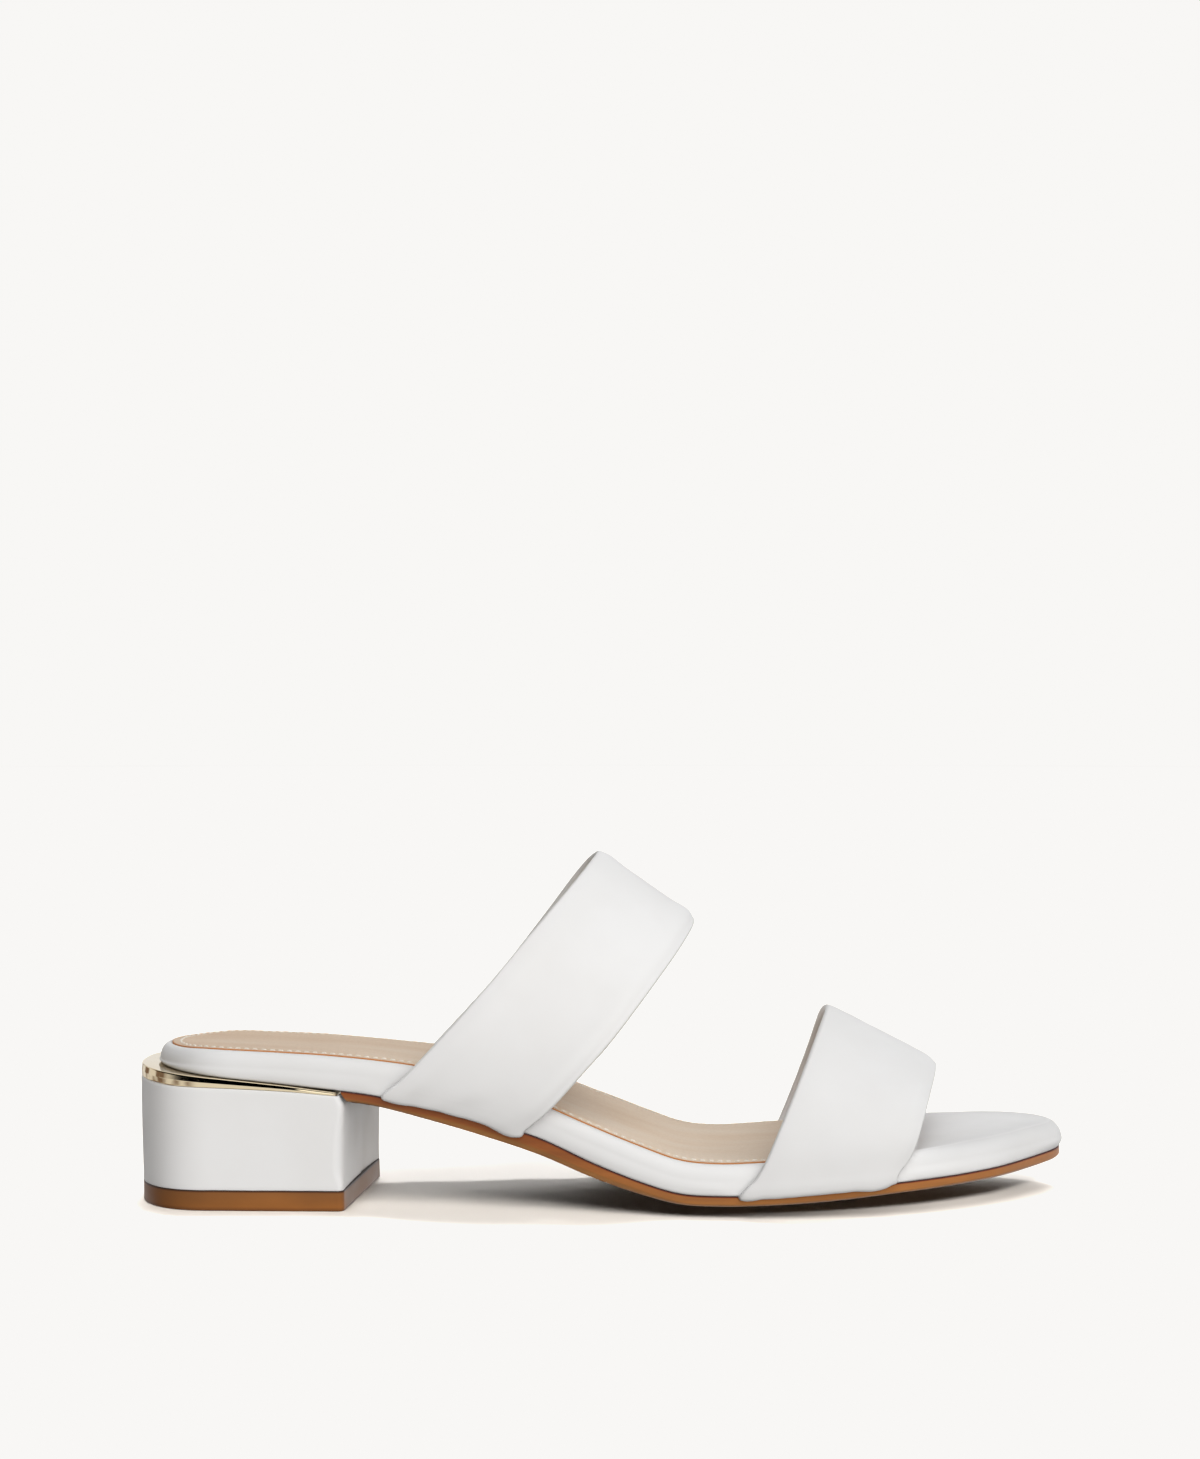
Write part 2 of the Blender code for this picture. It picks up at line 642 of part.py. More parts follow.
def strap_path(strap, across):
    """Points and thicknesses along a strap's inner face, from its lateral to its medial end.

    across runs from 0 at the back edge to 1 at the front edge. Heights are above the footbed's bottom edge.
    """
    edge = Edge(*(a + (b - a) * across for a, b in zip(strap.back, strap.front)))
    base = feather(edge.foot_x)
    crest_height = edge.crest_z - base
    lateral_y = side_y(edge.foot_x, -1)
    span = side_y(edge.foot_x, 1) - lateral_y
    crest_shift = strap.skew * (strap.crest_y - lateral_y) / span
    lean = (edge.crest_x - crest_shift - edge.foot_x) / crest_height

    def place(height, y):
        """Where along the shoe the strap is at this height and width."""
        flare = edge.flare * max(0.0, 1 - height / strap.flare_reach) ** strap.flare_power
        bow = 4 * edge.bow * height / crest_height * (1 - height / crest_height)
        skew = strap.skew * min(max((y - lateral_y) / span, 0.0), 1.0)
        aside = min(max(2 * (y - strap.crest_y) / span, -1.0), 1.0)
        twist = TWIST_SCALE * strap.twist * aside * (1 - aside**2)
        twist += FAR_BOW_SCALE * strap.far_bow * max(0.0, aside) * (1 - aside) ** 2
        belly = 4 * strap.far_belly * height / crest_height * (1 - height / crest_height) * ramp(aside, 0, 0.35)
        return edge.foot_x + lean * height + bow - flare + skew - twist - belly

    def level(height, x):
        """Its z: it follows the sole at its foot, and then runs straight up to its crest."""
        return height + feather(x) + (base - feather(x)) * ramp(height, LEVEL_FROM, LEVEL_TO)

    def half(side):
        path = []
        for row in TUCK:
            x = place(row.height, side_y(edge.foot_x, side))
            path.append((x, side_y(x, side) - side * row.inset, row.height, row.thickness))
        for height in TUCK_TOP:
            x = place(height, side_y(edge.foot_x, side))
            path.append((x, side_y(x, side) + side * GAP + lean_out(strap, side, height), height, STRAP_THICK))
        wall_x = place(STRAP_WALL, side_y(edge.foot_x, side))
        for i in range(ARCH_STEPS):
            y, height = arch_point(strap, side, i / ARCH_STEPS, wall_x, crest_height)
            path.append((place(height, y), y, height, STRAP_THICK))
        return path

    crest = (place(crest_height, strap.crest_y), strap.crest_y, crest_height, STRAP_THICK)
    path = half(-1) + [crest] + half(1)[::-1]
    return [(Vector((x, y, level(height, x))), thickness) for x, y, height, thickness in path]


def strap_solid(name, strap):
    """A strap with turned, rounded edges: inner face, edge, outer face and edge make each of its rings."""
    paths = [strap_path(strap, i / STRAP_STEPS) for i in range(STRAP_STEPS + 1)]
    rings = []
    for i in range(len(paths[0])):
        before, after = max(i - 1, 0), min(i + 1, len(paths[0]) - 1)
        inner, outer = [], []
        for j, path in enumerate(paths):
            point, thickness = path[i]
            along = path[after][0] - path[before][0]
            over = paths[min(j + 1, STRAP_STEPS)][i][0] - paths[max(j - 1, 0)][i][0]
            normal = over.cross(along).normalized()
            inner.append(point)
            outer.append(point + normal * thickness)
        ring = list(inner)
        ring += rounded_edge(inner[-1], outer[-1], inner[-1] - inner[-2])
        ring += outer[::-1]
        ring += rounded_edge(outer[0], inner[0], inner[0] - inner[1])
        rings.append(ring)
    return add_object(name, loft(rings, cap_ends=True), "white_leather", 60)


def rounded_edge(start, end, outwards):
    """Points of the half circle that turns from one face to the other, bulging outwards."""
    middle, radius = (start + end) / 2, (start - end) / 2
    bulge = (outwards - radius * outwards.dot(radius) / radius.length_squared).normalized() * radius.length
    turns = [math.pi * i / (EDGE_STEPS + 1) for i in range(1, EDGE_STEPS + 1)]
    return [middle + radius * math.cos(turn) + bulge * math.sin(turn) for turn in turns]


def main():
    for old in list(bpy.data.objects):
        bpy.data.objects.remove(old)
    heel_top_lift()
    heel_block()
    heel_rim()
    outsole()
    footbed()
    insole_sock()
    for name, strap in STRAPS.items():
        strap_solid(name, strap)


main()
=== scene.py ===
"""Looks of the two-strap dress sandal, right shoe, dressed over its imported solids.

Frame: +X runs from heel to toe, +Y to the medial side, +Z up, origin on the floor. The shapes follow the same
named sizes and tables as the solids, in millimetres, with finer steps; MM turns them into Blender's metres.
"""

from collections import namedtuple
from math import copysign, cos, exp, hypot, pi, radians, sin, sqrt

import bmesh
import bpy
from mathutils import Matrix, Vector, noise


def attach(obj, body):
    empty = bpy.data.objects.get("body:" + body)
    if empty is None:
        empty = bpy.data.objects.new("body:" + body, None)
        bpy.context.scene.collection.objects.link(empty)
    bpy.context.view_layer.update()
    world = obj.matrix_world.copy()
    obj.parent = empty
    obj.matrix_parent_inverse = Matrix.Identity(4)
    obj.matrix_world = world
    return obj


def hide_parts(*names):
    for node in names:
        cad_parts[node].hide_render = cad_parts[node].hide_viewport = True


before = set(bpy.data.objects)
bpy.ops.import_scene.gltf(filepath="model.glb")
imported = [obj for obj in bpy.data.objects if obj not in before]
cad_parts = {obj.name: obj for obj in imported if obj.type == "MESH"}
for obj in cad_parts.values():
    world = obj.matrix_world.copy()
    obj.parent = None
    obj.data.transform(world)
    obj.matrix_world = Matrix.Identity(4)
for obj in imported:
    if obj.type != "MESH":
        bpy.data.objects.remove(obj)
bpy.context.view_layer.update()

MM = 0.001

# ---- sizes shared with the solids

GAP = 0.3  # between two solids that meet
SEAM = 0.06  # what shows of it here
HEEL_END, TOE_END = -120.0, 127.0
HEEL_AXIS_Y, TOE_AXIS_Y = -4.0, 13.0
AXIS_FROM, AXIS_TO = -60.0, 80.0
HEEL_CAP, TOE_CAP = 24.0, 22.0
HEEL_CAP_POWER = 2.2
SOCK_INSET = 3.2
SOCK_OVER = 0.5  # the sock's top above the footbed's border
SOCK_END, SOCK_END_BOW = 71.0, 9.0
ARCH_RISE = 2.0
ARCH_FROM, ARCH_FULL, ARCH_TO = -68.0, -18.0, 34.0
ARCH_POWER = 2.5
HEEL_CUP = 0.8
CUP_HALF = 22.0
CUP_BACK, CUP_FRONT = -122.0, -62.0
FLAT_SHARE = 0.45
CAMBER_SHANK, CAMBER_BALL = 0.5, 3.4
CAMBER_FROM, CAMBER_FULL, CAMBER_FADE, CAMBER_TO = 4.0, 22.0, 60.0, 120.0
HEEL_BACK = -125.0
HEEL_Y = -3.2
HEEL_WIDTH = 55.0
HEEL_ROUND = 22.0
HEEL_SQUARENESS = 2.3
HEEL_CORNER = 1.6
BREAST_X = -65.0
BREAST_SLANT = 0.06
LIFT_HEIGHT = 5.2
RIM_BACK, RIM_FRONT, RIM_BEND = 3.05, 0.7, 1.35
RIM_FROM, RIM_TO = -113.0, -68.0
HEEL_TAPER = 0.9
SCARF, SCARF_DEPTH = 1.5, 3.2
SCARF_GAP = 0.6
TAIL_TURN = 30.0
STRAP_THICK = 2.0
STRAP_WALL = 8.5
TWIST_SCALE = 2.6
LEVEL_FROM, LEVEL_TO = 4.0, 16.0
LEAN_FROM = 1.2
FAR_BOW_SCALE = 6.75  # makes the far edge's bow as wide as its value says

Station = namedtuple("Station", "x feather top sole")
PROFILE = [Station(*row) for row in (
    (-124, 37.3, 42.3, 2.4), (-105, 35.5, 42.3, 2.4), (-90, 34, 41.7, 2.4), (-75, 32.4, 40.9, 2.4),
    (-60, 30.6, 39.6, 2.4), (-45, 27.7, 37.5, 3.1), (-30, 24.2, 33.5, 3.7), (-15, 20, 28.7, 4.1),
    (0, 13.5, 22.6, 3.5), (12, 9.1, 18, 2.9), (22, 6.4, 14.8, 2.5), (32, 5.9, 13.9, 2.4),
    (45, 6.3, 14.4, 2.4), (60, 7.5, 15.5, 2.6), (80, 9.3, 17, 2.4), (100, 10.5, 18.6, 2.3),
    (116, 11.5, 19.3, 2.5), (128, 12.2, 19.3, 2.5),
)]

Width = namedtuple("Width", "x lateral medial")
WIDTHS = [Width(*row) for row in (
    (-122, -29, 20.5), (-100, -29.4, 21.2), (-80, -29.4, 21.3), (-60, -29.4, 21.2),
    (-40, -30.1, 21.8), (-20, -32.2, 24.4), (0, -34.8, 28.8), (20, -37.2, 34),
    (40, -38.4, 37.6), (58, -38, 38.6), (80, -34.8, 37), (92, -29.8, 35.4),
    (103, -22.4, 33.4), (113, -14, 31.8), (121, -8, 31), (128, -5, 30.6),
)]

Edge = namedtuple("Edge", "foot_x crest_x crest_z flare bow")
Strap = namedtuple(
    "Strap",
    "back front crest_y skew side_pull flare_reach flare_power lean curl hangs crowns twist far_belly drawn"
    " top_pull far_bow",
    defaults=((), 0.0, 0.0, 0.0, 0.52, 1.5),
)
STRAPS = {
    "strap_rear": Strap(
        back=Edge(foot_x=-53.9, crest_x=-0.3, crest_z=92.4, flare=2.8, bow=1.2),
        front=Edge(foot_x=-18.2, crest_x=24.8, crest_z=74.7, flare=3.3, bow=1.9),
        crest_y=2.0, skew=1.0, side_pull=0.48, flare_reach=22.0, flare_power=1.0, lean=(0.24, 0.08), curl=0.07,
        hangs=[(0.95, 0.955, 0.085), (-0.4, 0.42, 0.38)],  # heights, places across and half widths of humps
        crowns=[(0.5, 0.9, 0.10), (0.4, 0.1, 0.09)],
        twist=0.4,
    ),
    "strap_front": Strap(
        back=Edge(foot_x=41.0, crest_x=62.7, crest_z=50.0, flare=4.2, bow=0.9),
        front=Edge(foot_x=79.4, crest_x=91.2, crest_z=35.2, flare=2.2, bow=0.1),
        crest_y=2.5, skew=7.2, side_pull=0.50, flare_reach=8.0, flare_power=1.8, lean=(0.02, 0.02), curl=0.09,
        hangs=[(0.5, 0.03, 0.05), (0.45, 0.86, 0.10)],
        far_belly=1.2,
        drawn=1.15,  # its foot's front corner is drawn back this much
    ),
}

Tuck = namedtuple("Tuck", "inset height thickness")
TUCK = [Tuck(*row) for row in (
    (6.5, 0.70, 0.7), (3.6, 0.80, 1), (1.3, 0.95, 1.5), (0.3, 1.20, 1.8), (-0.3, 1.90, 2),
)]
TUCK_TOP = (4.2, 6.4)

# ---- sizes of what is only seen

OUTLINE_STEPS = 230  # from heel to toe, on each side
HEEL_STEPS, HEEL_WALL_STEPS, BREAST_STEPS, CORNER_STEPS = 44, 30, 56, 8
SOCK_FRONT_STEPS = 40
BED_SPINE_BACK, BED_SPINE_FRONT = 20.0, 16.0
HEEL_SPINE_BACK, HEEL_SPINE_FRONT = 20.0, 14.0
STRAP_STEPS, ARCH_STEPS, EDGE_STEPS = 44, 14, 9
ARCH_FINE = 6  # finer steps between two points of a strap's path
FOLD_POINTS = 32  # of the finer points stay as they are at each end
SOFTENING = 40  # rounds of smoothing of the rest

ROLL_DEPTH = 4.2  # the roll reaches further down the side than in over the top
SIDE_FROM = 0.5  # the side's padding starts this far above the feather line
SIDE_BULGE = 0.3  # the padding rounds the footbed's side this much
ROLL_REACH = 2.9
ROLL_DROP = 0.05  # the roll's top below the padding's
TOE_SOFTER = 1.5  # the roll reaches this much further in round the toe
TOE_SOFT, TOE_LESS_SOFT = (86, 100), (108, 124)  # where it comes to do so, and to do so by half
TOP_SOFT = 1.05  # how much of that the top's own rings follow
TOE_SWELL = 0.6  # the toe's end stands out this much where its roll starts
TOE_SWOLLEN = (112, 125)
BORDER_DROP = 0.25  # the footbed's top falls towards the sock's edge
SOCK_EDGE_DROP = 0.35  # the sock is pressed down towards its edge
STITCH_INSET = 2.3  # from the sock's edge
STITCH_PITCH, STITCH_LENGTH, STITCH_RADIUS, STITCH_GROOVE = 2.3, 1.65, 0.33, 0.16
STITCH_RISE, STITCH_DIP = 0.12, 0.36  # the thread's middle above the leather, and its ends below that
BREAST_HOLLOW = 0.9
BREAST_SEAM, BREAST_SEAM_STEP, BREAST_SEAM_Y = 0.25, 0.22, HEEL_Y + 1.5
CORNER_GROWTH = 1.6  # the heel cover's outer front corner is this much rounder halfway down
RIM_UPRIGHT = 0.5  # the lower share of the gold rim's side
RIM_ROUND = 0.34  # its upper edge
RIM_LEAN = 0.46  # how far the rest would lean in over the whole height

Crease = namedtuple("Crease", "along across length width depth")
CREASES = {  # soft troughs, and ridges with a minus; along and across a strap run from 0 to 1
    "strap_rear": [
        Crease(0.170, 0.30, 0.060, 0.10, 0.22),
        Crease(0.150, 0.48, 0.050, 0.07, -0.12),
        Crease(0.155, 0.66, 0.055, 0.09, 0.22),
        Crease(0.140, 0.88, 0.045, 0.08, -0.16),
    ],
    "strap_front": [
        Crease(0.190, 0.22, 0.070, 0.10, 0.16),
        Crease(0.180, 0.50, 0.060, 0.09, -0.10),
        Crease(0.190, 0.80, 0.070, 0.10, 0.14),
    ],
}


# ---- curves and heights

def smooth(rows, column):
    """A smooth curve through a table's column, as a function of x."""
    xs, ys = [row.x for row in rows], [getattr(row, column) for row in rows]
    steps = [(d - c) / (b - a) for a, b, c, d in zip(xs, xs[1:], ys, ys[1:])]
    slopes = [steps[0], *((a + b) / 2 for a, b in zip(steps, steps[1:])), steps[-1]]

    def curve(x):
        x = min(max(x, xs[0]), xs[-1])
        i = max(j for j in range(len(steps)) if xs[j] <= x)
        span = xs[i + 1] - xs[i]
        t = (x - xs[i]) / span
        level = ys[i] * (1 + 2 * t) * (1 - t) ** 2 + ys[i + 1] * (3 - 2 * t) * t**2
        return level + span * t * (1 - t) * (slopes[i] * (1 - t) - slopes[i + 1] * t)

    return curve


feather = smooth(PROFILE, "feather")
bed_top = smooth(PROFILE, "top")
sole_thickness = smooth(PROFILE, "sole")
lateral_width = smooth(WIDTHS, "lateral")
medial_width = smooth(WIDTHS, "medial")


def ease(t):
    """0 below 0, 1 above 1, and a smooth rise between."""
    t = min(max(t, 0.0), 1.0)
    return t * t * (3 - 2 * t)


def ramp(x, start, end):
    """0 on start's side, 1 on end's side, and a smooth change between."""
    return ease((x - start) / (end - start))


def hump(x, middle, half):
    """1 at the middle, falling smoothly to nearly 0 two halves away."""
    return exp(-((x - middle) / half) ** 2)


def humps(x, rows):
    return sum(height * hump(x, middle, half) for height, middle, half in rows)


def cap(x):
    """Share of its full width that the footbed has at x."""
    heel = max(0.0, (HEEL_END + HEEL_CAP - x) / HEEL_CAP)
    toe = max(0.0, (x - TOE_END + TOE_CAP) / TOE_CAP)
    return sqrt(max(0.0, 1 - heel**HEEL_CAP_POWER)) * sqrt(max(0.0, 1 - toe**2))


def axis_y(x):
    """The line that the two round ends close on."""
    return HEEL_AXIS_Y + (TOE_AXIS_Y - HEEL_AXIS_Y) * ramp(x, AXIS_FROM, AXIS_TO)


def side_y(x, side):
    """The footbed's outline at x, on the lateral side (-1) or the medial side (+1)."""
    width = lateral_width(x) if side < 0 else medial_width(x)
    return axis_y(x) + (width - axis_y(x)) * cap(x)


def raised(height, lift):
    """A height function, lifted."""
    return lambda x, y: height(x, y) + lift


def level(height):
    return lambda x, y: height


def over_feather(lift):
    return lambda x, y: feather(x) + lift


def blend(low, high, share):
    """A height function between two, a share of the way up."""
    return lambda x, y: low(x, y) * (1 - share) + high(x, y) * share


def rounded(radius, *degrees):
    """A rounded edge's (inset, drop), at angles from 0 on its upright side to 90 on its flat face."""
    angles = [radians(turn) for turn in degrees]
    return [(radius * (1 - cos(angle)), radius * (1 - sin(angle))) for angle in angles]


def uneven(x, y, z=0.0):
    """Smooth unevenness between -1 and 1."""
    return noise.noise(Vector((x, y, z)))


def arch_rise(x, y):
    """How much the medial side of the footbed stands above its lateral side."""
    along = ramp(x, ARCH_FROM, ARCH_FULL) * ramp(x, ARCH_TO, 0)
    across = max(0.0, (y - axis_y(x)) / (medial_width(x) - axis_y(x)))
    return ARCH_RISE * along * across**ARCH_POWER


def bed_height(x, y):
    """Top of the footbed, apart from its rolled edge."""
    middle = max(0.0, 1 - ((y - axis_y(x)) / CUP_HALF) ** 2)
    dish = HEEL_CUP * middle * ramp(x, CUP_FRONT, CUP_FRONT - CUP_HALF) * ramp(x, CUP_BACK, CUP_BACK + 14)
    return bed_top(x) + arch_rise(x, y) - dish


def strap_zone(x, y):
    """1 beside a strap end, 0 elsewhere."""
    side = -1 if y < axis_y(x) else 1
    found = 0.0
    for strap in STRAPS.values():
        shift = strap.skew if side > 0 else 0.0
        first = strap.back.foot_x - strap.back.flare + shift - 1
        last = strap.front.foot_x + shift + 1
        found = max(found, ramp(x, first - 3, first) * ramp(x, last + 3, last))
    return found


# ---- outlines

Point = namedtuple("Point", "x y spine_x spine_y")


def bed_outline(first, last):
    """The footbed's outline between two stations, and the spine point that each point closes on."""

    def point(x, side):
        spine = min(max(x, first + BED_SPINE_BACK), last - BED_SPINE_FRONT)
        return Point(x, side_y(x, side), spine, axis_y(spine))

    places = []
    for i in range(OUTLINE_STEPS + 1):
        share = i / OUTLINE_STEPS
        share -= 0.96 * sin(2 * pi * share) / (2 * pi)
        places.append(first + (last - first) * share)
    lateral = [point(x, -1) for x in places]
    medial = [point(x, 1) for x in reversed(places)]
    return lateral, medial


def closed_bed_outline():
    lateral, medial = bed_outline(HEEL_END, TOE_END)
    return lateral + medial[1:-1]


def between(a, b, steps):
    """Points inside the straight line from a to b, without its ends."""
    return [Point(*(p + (q - p) * i / steps for p, q in zip(a, b))) for i in range(1, steps)]


def breast_x(y):
    """Front face of the heel."""
    return BREAST_X + BREAST_SLANT * (y - HEEL_Y)


def heel_outline():
    """The heel's D-shaped outline: a round back, straight sides and a straight, slanting breast."""
    spine_back, spine_front = HEEL_BACK + HEEL_SPINE_BACK, BREAST_X - HEEL_SPINE_FRONT

    def side_points(half):
        back, corner = [], []
        for i in range(HEEL_STEPS + 1):
            angle = pi / 2 * i / HEEL_STEPS
            x = HEEL_BACK + HEEL_ROUND * (1 - cos(angle) ** (2 / HEEL_SQUARENESS))
            y = HEEL_Y + half * sin(angle) ** (2 / HEEL_SQUARENESS)
            back.append(Point(x, y, spine_back, HEEL_Y))
        for inset, drop in rounded(HEEL_CORNER, *(90 * i / CORNER_STEPS for i in range(CORNER_STEPS + 1))):
            y = HEEL_Y + half - copysign(inset, half)
            corner.append(Point(breast_x(y) - drop, y, spine_front, HEEL_Y))
        return back + between(back[-1], corner[0], HEEL_WALL_STEPS) + corner

    lateral, medial = side_points(-HEEL_WIDTH / 2), side_points(HEEL_WIDTH / 2)
    breast = between(lateral[-1], medial[-1], BREAST_STEPS)
    return lateral + [p._replace(spine_x=spine_front) for p in breast] + medial[:0:-1]


def inset_ring(outline, inset, share):
    """(x, y) of the outline moved inwards, and then a share of the way to its spine."""
    ring = []
    count = len(outline)
    for i, here in enumerate(outline):
        before, after = outline[i - 1], outline[(i + 1) % count]
        a = Vector((here.x - before.x, here.y - before.y)).normalized()
        b = Vector((after.x - here.x, after.y - here.y)).normalized()
        normal = Vector((-(a.y + b.y), a.x + b.x)).normalized()
        reach = inset / max(0.5, normal.dot(Vector((-a.y, a.x))))
        x, y = here.x + normal.x * reach, here.y + normal.y * reach
        ring.append((x + (here.spine_x - x) * share, y + (here.spine_y - y) * share))
    return ring


# ---- materials

class Nodes:
    """Makes the nodes of one tree. A value is a number, a colour or a socket to link."""

    def __init__(self, tree):
        self.tree = tree

    def put(self, target, value):
        if isinstance(value, bpy.types.NodeSocket):
            self.tree.links.new(value, target)
        else:
            target.default_value = (*value, 1) if target.type == "RGBA" else value

    def add(self, kind, **values):
        """A node with its inputs (an underscore is a space) and properties set by name."""
        made = self.tree.nodes.new("ShaderNode" + kind)
        for key, value in values.items():
            name = key.replace("_", " ")
            if name in made.inputs:
                self.put(made.inputs[name], value)
            else:
                setattr(made, key, value)
        return made

    def join(self, kind, places, values, out=0, **settings):
        """The result of a node whose inputs are set by their places."""
        made = self.add(kind, **settings)
        for place, value in zip(places, values):
            self.put(made.inputs[place], value)
        return made.outputs[out]

    def math(self, operation, a, b):
        return self.join("Math", (0, 1), (a, b), operation=operation)

    def times(self, a, b):
        return self.math("MULTIPLY", a, b)

    def mix(self, factor, a, b, blend="MIX"):
        return self.join("Mix", (0, 6, 7), (factor, a, b), 2, data_type="RGBA", blend_type=blend)

    def step(self, value, low, high):
        """0 to 1, smoothly, as a value goes from low to high."""
        made = self.add("MapRange", interpolation_type="SMOOTHSTEP", Value=value, From_Min=low, From_Max=high)
        return made.outputs["Result"]

    def ramp(self, source, *stops):
        """A colour ramp over a socket; stops are (position, colour or grey)."""
        made = self.add("ValToRGB", Fac=source)
        elements = made.color_ramp.elements
        while len(elements) < len(stops):
            elements.new(0.5)
        for element, (position, colour) in zip(elements, stops):
            element.position = position
            element.color = (*(colour if isinstance(colour, tuple) else (colour,) * 3), 1)
        return made.outputs["Color"]


class Finish(Nodes):
    """The nodes of a Principled material, its constants on the shader's own sockets."""

    def __init__(self, name, colour, roughness, metallic=0.0, specular=0.5):
        self.material = bpy.data.materials.new(name)
        self.material.use_nodes = True
        super().__init__(self.material.node_tree)
        self.shader = self.tree.nodes["Principled BSDF"].inputs
        sockets = ("Base Color", "Roughness", "Metallic", "Specular IOR Level")
        for socket, value in zip(sockets, (colour, roughness, metallic, specular)):
            self.put(self.shader[socket], value)

    def texture(self, kind, scale, stretch=(1, 1, 1), **values):
        """A procedural texture in the shoe's own coordinates; scale is in features per metre."""
        place = self.add("Mapping", Scale=stretch, Vector=self.add("TexCoord").outputs["Object"])
        return self.add("Tex" + kind, Scale=scale, Vector=place.outputs["Vector"], **values).outputs[0]

    def noise(self, scale, detail, stretch=(1, 1, 1)):
        return self.texture("Noise", scale, stretch, Detail=detail)

    def cells(self, scale, smoothness):
        return self.texture("Voronoi", scale, feature="SMOOTH_F1", Smoothness=smoothness)

    def attribute(self, name):
        return self.add("Attribute", attribute_name=name).outputs["Fac"]

    def along(self, start, end, axis="X"):
        """0 to 1 between two places along an axis of the shoe, in mm; X runs towards the toe."""
        split = self.add("SeparateXYZ", Vector=self.add("TexCoord").outputs["Object"])
        return self.step(split.outputs[axis], start * MM, end * MM)

    def colour(self, value):
        self.put(self.shader["Base Color"], value)

    def gloss(self, source, low, high, end=0.7):
        """Roughness between low and high, over a texture's 0.3 to end."""
        self.put(self.shader["Roughness"], self.ramp(source, (0.3, low), (end, high)))

    def bumped(self, *layers):
        """Chains bumps, each (height socket, strength, distance in mm), into the normal; returns the material."""
        for height, strength, distance in layers:
            made = self.add("Bump", Strength=strength, Distance=distance * MM, Height=height)
            if self.shader["Normal"].is_linked:
                self.put(made.inputs["Normal"], self.shader["Normal"].links[0].from_socket)
            self.put(self.shader["Normal"], made.outputs["Normal"])
        return self.material


WHITE = (0.83, 0.83, 0.83)
WHITE_DEEP = (0.81, 0.807, 0.803)
WARM_SHADE = (0.85, 0.72, 0.60)


def white_leather(name, tone=1.0, heel_end_painted_shade=None, top_painted_shade=None, toe_painted_shade=0.0, breast=0.0):
    """Smooth white leather with fine grain, satin sheen and faint clouds; its arguments add painted light and shade."""
    made = Finish(name, WHITE, 0.42, specular=0.4)
    # tone paints the whole leather lighter or darker: painted light or shade on a copy of one white
    deep, full = (tuple(channel * tone for channel in white) for white in (WHITE_DEEP, WHITE))
    colour = made.ramp(made.noise(45, 3), (0.35, deep), (0.62, full))
    # painted shade: darker towards the heel's end, and high up over the top
    for darker, places in ((heel_end_painted_shade, (50, -30)), (top_painted_shade, (58, 90, "Z"))):
        if darker:
            colour = made.mix(made.along(*places), colour, (darker,) * 3, "MULTIPLY")
    # painted shade over the roll round the toe, where the footbed's band is high
    if toe_painted_shade:
        toe_shade_mask = made.times(made.attribute("band"), made.along(74, 98))
        colour = made.mix(made.times(toe_shade_mask, toe_painted_shade), colour, (0.0, 0.0, 0.0))
    # painted shade: a warm tint on the heel's breast
    if breast:
        colour = made.mix(made.times(made.along(-68, -65), breast), colour, WARM_SHADE)
    made.colour(colour)
    waves = made.noise(120, 2)
    made.gloss(waves, 0.36, 0.5)
    return made.bumped((waves, 0.10, 0.25), (made.cells(1500, 0.7), 0.10, 0.05), (made.noise(2600, 2), 0.08, 0.03))


def lining_leather():
    """Taupe lining leather, matte, with a short nap."""
    made = Finish("lining_leather", (0.32, 0.23, 0.185), 0.75, specular=0.05)
    made.colour(made.ramp(made.noise(420, 5), (0.3, (0.30, 0.213, 0.170)), (0.7, (0.345, 0.250, 0.203))))
    return made.bumped((made.noise(2800, 2), 0.25, 0.05))


def sock_leather():
    """Tan sock leather: lengthwise clouds, fine grain, darker dye along its cut edge, and painted light in its waist.
    """
    made = Finish("sock_leather", (0.58, 0.46, 0.33), 0.55, specular=0.35)
    streaks = made.noise(70, 5, stretch=(0.3, 1.3, 1))
    # painted light: the waist, which the straps shade, is painted lighter than the heel
    waist = made.ramp(streaks, (0.25, (0.72, 0.545, 0.385)), (0.5, (0.78, 0.63, 0.48)), (0.75, (0.81, 0.69, 0.56)))
    heel = made.ramp(streaks, (0.25, (0.59, 0.42, 0.29)), (0.5, (0.64, 0.485, 0.35)), (0.75, (0.68, 0.55, 0.43)))
    speck = made.noise(1400, 2)
    specks = made.ramp(speck, (0.4, (0.35, 0.26, 0.18)), (0.6, (0.7, 0.6, 0.48)))
    body = made.mix(0.10, made.mix(made.along(-80, -30), heel, waist), specks)
    dyed = made.ramp(made.attribute("edge"), (0.35, 0.0), (0.62, 1.0))
    made.colour(made.mix(dyed, body, (0.52, 0.22, 0.075)))
    return made.bumped((streaks, 0.15, 0.3), (made.cells(1700, 0.6), 0.18, 0.06), (speck, 0.2, 0.03))


SOLE_BALL = [  # tones down the sole's edge, from the dark line above to the duller bevel below
    (0.0, (0.10, 0.03, 0.03)), (0.10, (0.19, 0.05, 0.02)), (0.18, (0.37, 0.145, 0.045)),
    (0.58, (0.40, 0.165, 0.047)), (0.66, (0.37, 0.155, 0.045)), (0.78, (0.44, 0.21, 0.07)),
    (0.97, (0.34, 0.155, 0.05)), (1.0, (0.24, 0.12, 0.055)),
]
# the same tones painted darker in the waist: painted shade from the straps and the undercut
SOLE_WAIST_PAINTED_SHADE = [
    (0.0, (0.08, 0.025, 0.03)), (0.10, (0.13, 0.035, 0.016)), (0.20, (0.235, 0.068, 0.02)),
    (0.50, (0.27, 0.085, 0.026)), (0.66, (0.33, 0.135, 0.038)), (0.80, (0.39, 0.18, 0.057)),
    (0.97, (0.27, 0.11, 0.035)), (1.0, (0.24, 0.12, 0.055)),
]
